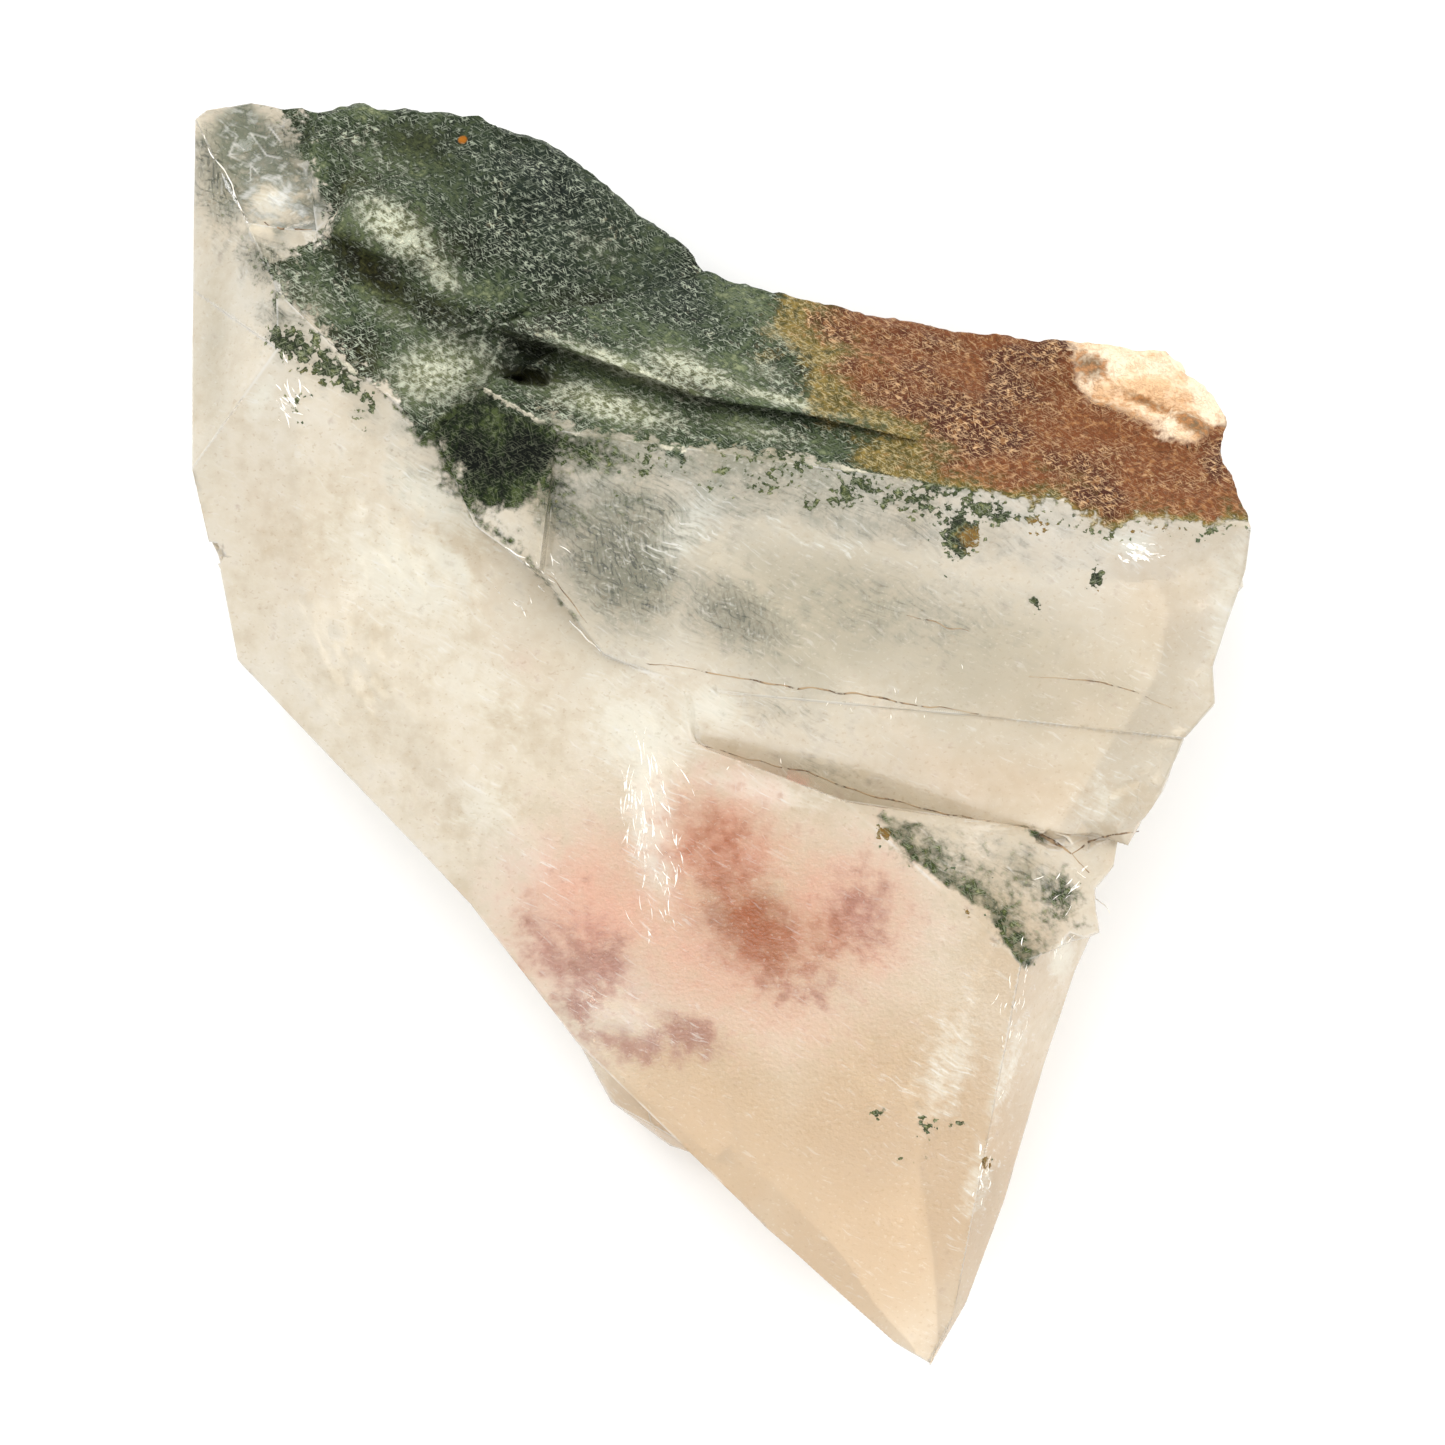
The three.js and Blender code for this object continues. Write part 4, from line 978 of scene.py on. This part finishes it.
# Hairline cracks: lines of points in plan, a radius in mm
cracks = {
    "brown_cracks": {
        "colour": tone(104, 80, 56), "light": tone(168, 142, 108), "gap": (0.36, 0.46),
        "lines": [
            ([(-1.8, -0.9), (4.5, -2.6), (7.2, -3.2), (11.9, -4.9), (15.9, -5.9), (20.6, -6.9),
              (24.6, -7.6)], 0.06),
            ([(24.6, -7.6), (26.2, -8.6), (27.4, -9.4)], 0.14),
            ([(27.4, -9.4), (28.6, -8.6), (30.6, -8.0), (32.6, -7.8)], 0.08),
            ([(27.4, -9.4), (28.8, -10.9), (29.6, -12.4)], 0.06),
            ([(14.6, 8.8), (16.4, 8.2), (19.2, 7.4)], 0.05),
            ([(-5.4, 5.2), (-1.2, 4.6), (4.5, 3.5), (12.0, 2.6), (20.2, 1.2)], 0.07),
            ([(23.9, 4.1), (26.8, 4.0), (29.6, 3.6), (32.4, 2.8), (34.7, 1.6)], 0.05),
            ([(-12.6, 12.0), (-11.0, 10.0), (-9.6, 8.0)], 0.05),
            ([(-34.5, 39.1), (-33.2, 38.1), (-30.8, 38.1)], 0.09)]},
    "white_cracks": {
        "colour": tone(255, 254, 250), "light": tone(250, 242, 226), "gap": (0.30, 0.40),
        "lines": [
            ([(27.8, -10.7), (29.5, -12.0), (30.4, -14.0)], 0.05),
            ([(-15.6, 13.6), (-14.8, 13.2), (-13.9, 12.9)], 0.05),
            ([(-11.0, 8.4), (-9.8, 7.2), (-8.6, 6.0)], 0.07),
            ([(-39.7, 46.3), (-39.1, 44.9), (-37.3, 42.4), (-36.5, 40.3), (-35.8, 39.0),
              (-34.0, 37.6)], 0.06)]},
}
crackTubes = {"step": 0.3, "sink": 0.01, "wander": 0.16}      # between rings, downwards, sideways, in mm


# A thin four-sided tube along a line, closed at both ends, half sunk in the surface, wandering a
# little: each ring is the path plus and minus its width, sideways and upwards
def crackTube(line, radius, number, body):
    line = np.array(line)
    run = np.concatenate([[0], np.cumsum(np.linalg.norm(np.diff(line, axis=0), axis=1))])
    at = np.linspace(0, run[-1], int(run[-1] / crackTubes["step"]) + 2)
    path = np.stack([np.interp(at, run, line[:, 0]), np.interp(at, run, line[:, 1]), 0 * at], axis=1)
    path[:, 0] += crackTubes["wander"] * grain(path, 1.1, 60 + number)
    path[:, 1] += crackTubes["wander"] * grain(path, 1.1, 70 + number)
    path[:, 2] = surfaceOver(body, path) - crackTubes["sink"]
    along = np.gradient(path[:, :2], axis=0)
    along /= np.linalg.norm(along, axis=1, keepdims=True)
    width = radius * np.sin(np.pi * np.clip(at / run[-1], 0.08, 0.92)) ** 0.5
    width *= 1 + 0.5 * grain(path, 0.8, 80)
    side = np.column_stack([-along[:, 1], along[:, 0], 0 * at]) * width[:, None]
    rise = np.array([0, 0, 1]) * width[:, None]
    points = np.stack([path + side, path + rise, path - side, path - rise], axis=1).reshape(-1, 3)
    step, turn = np.arange(len(at) - 1)[:, None] * 4, np.arange(4)
    after = (turn + 1) % 4
    walls = np.stack([step + turn, step + after, step + 4 + after, step + 4 + turn], axis=2).reshape(-1, 4)
    ends = np.array([turn[::-1], len(points) - 4 + turn])
    return points, np.concatenate([walls, ends]), np.ones(len(points))


# One piece for each kind of crack, gone here and there where noise is low
def makeCracks(cracks, body):
    for order, (name, look) in enumerate(cracks.items()):
        graph = Graph(name.replace("_", " "))
        noise = graph.noise(1.1, 3.0, shift=2.0 * order)
        colour = graph.blend(noise.between(0.4, 0.6), look["colour"], look["light"])
        material = graph.finish(graph.principled(colour, 0.6, {"Alpha": noise.between(*look["gap"])}))
        points, faces, _ = joined([crackTube(*row, number, body) for number, row in enumerate(look["lines"])])
        makePiece(name, points, faces, [material])
    print("cracks:", sum(len(look["lines"]) for look in cracks.values()))


# Sizes and depths in mm. Tries fall between two corners, and those in the slab where the bunches
# and the flecks are above these shares stay
crumbs = {"tries": 26000, "corners": ((-38, -34, 20), (38, 28, 20)), "seed": 8,
          "size": (0.10, 0.30), "depth": (0.02, 0.7), "bunches": [(0.55, 1.3, 90), (0.25, 0.5, 91)],
          "bunched": 0.62, "flecked": 0.16, "inset": 0.3,
          "stops": [(0.3, tone(44, 58, 38)), (0.55, tone(84, 96, 64)), (0.72, tone(150, 146, 104))]}


# Crumbs of chlorite under the surface: stretched eight-sided grains, thick where the flecks are
def makeCrumbs(crumbs, body):
    draw = np.random.default_rng(crumbs["seed"])
    places = draw.uniform(*crumbs["corners"], (crumbs["tries"], 3))
    flecks = groundFields(places)["flecks"]
    bunched = lumps(places * [1, 1, 0], crumbs["bunches"], flecks)
    inside = insideOutline(places, slab) > crumbs["inset"]
    places = places[(bunched > crumbs["bunched"]) & (flecks > crumbs["flecked"]) & inside]
    size = draw.uniform(*crumbs["size"], (len(places), 1, 3))
    spin = draw.normal(0, 1, (len(places), 3, 3))
    axes = np.linalg.qr(spin)[0]
    reach = size * draw.uniform(0.5, 1.2, (len(places), 6, 1))
    corners = np.concatenate([np.eye(3), -np.eye(3)]) * reach
    places[:, 2] = surfaceOver(body, places) - draw.uniform(*crumbs["depth"], len(places))
    points = (places[:, None] + corners @ axes).reshape(-1, 3)
    sides = np.array([(0, 1, 2), (1, 3, 2), (3, 4, 2), (4, 0, 2), (1, 0, 5), (3, 1, 5), (4, 3, 5), (0, 4, 5)])
    faces = (np.arange(len(places))[:, None, None] * 6 + sides).reshape(-1, 3)
    graph = Graph("chlorite crumbs")
    material = graph.finish(graph.principled(graph.ramp(graph.noise(0.5, 2.0), crumbs["stops"]), 0.7))
    makePiece("chlorite_crumbs", points, faces, [material])
    print("crumbs:", len(places))


body = makeQuartz(quartz, quartzMaterials())
makeSheets(sheets)
makeSlivers(slivers, body)
makeCracks(cracks, body)
makeCrumbs(crumbs, body)
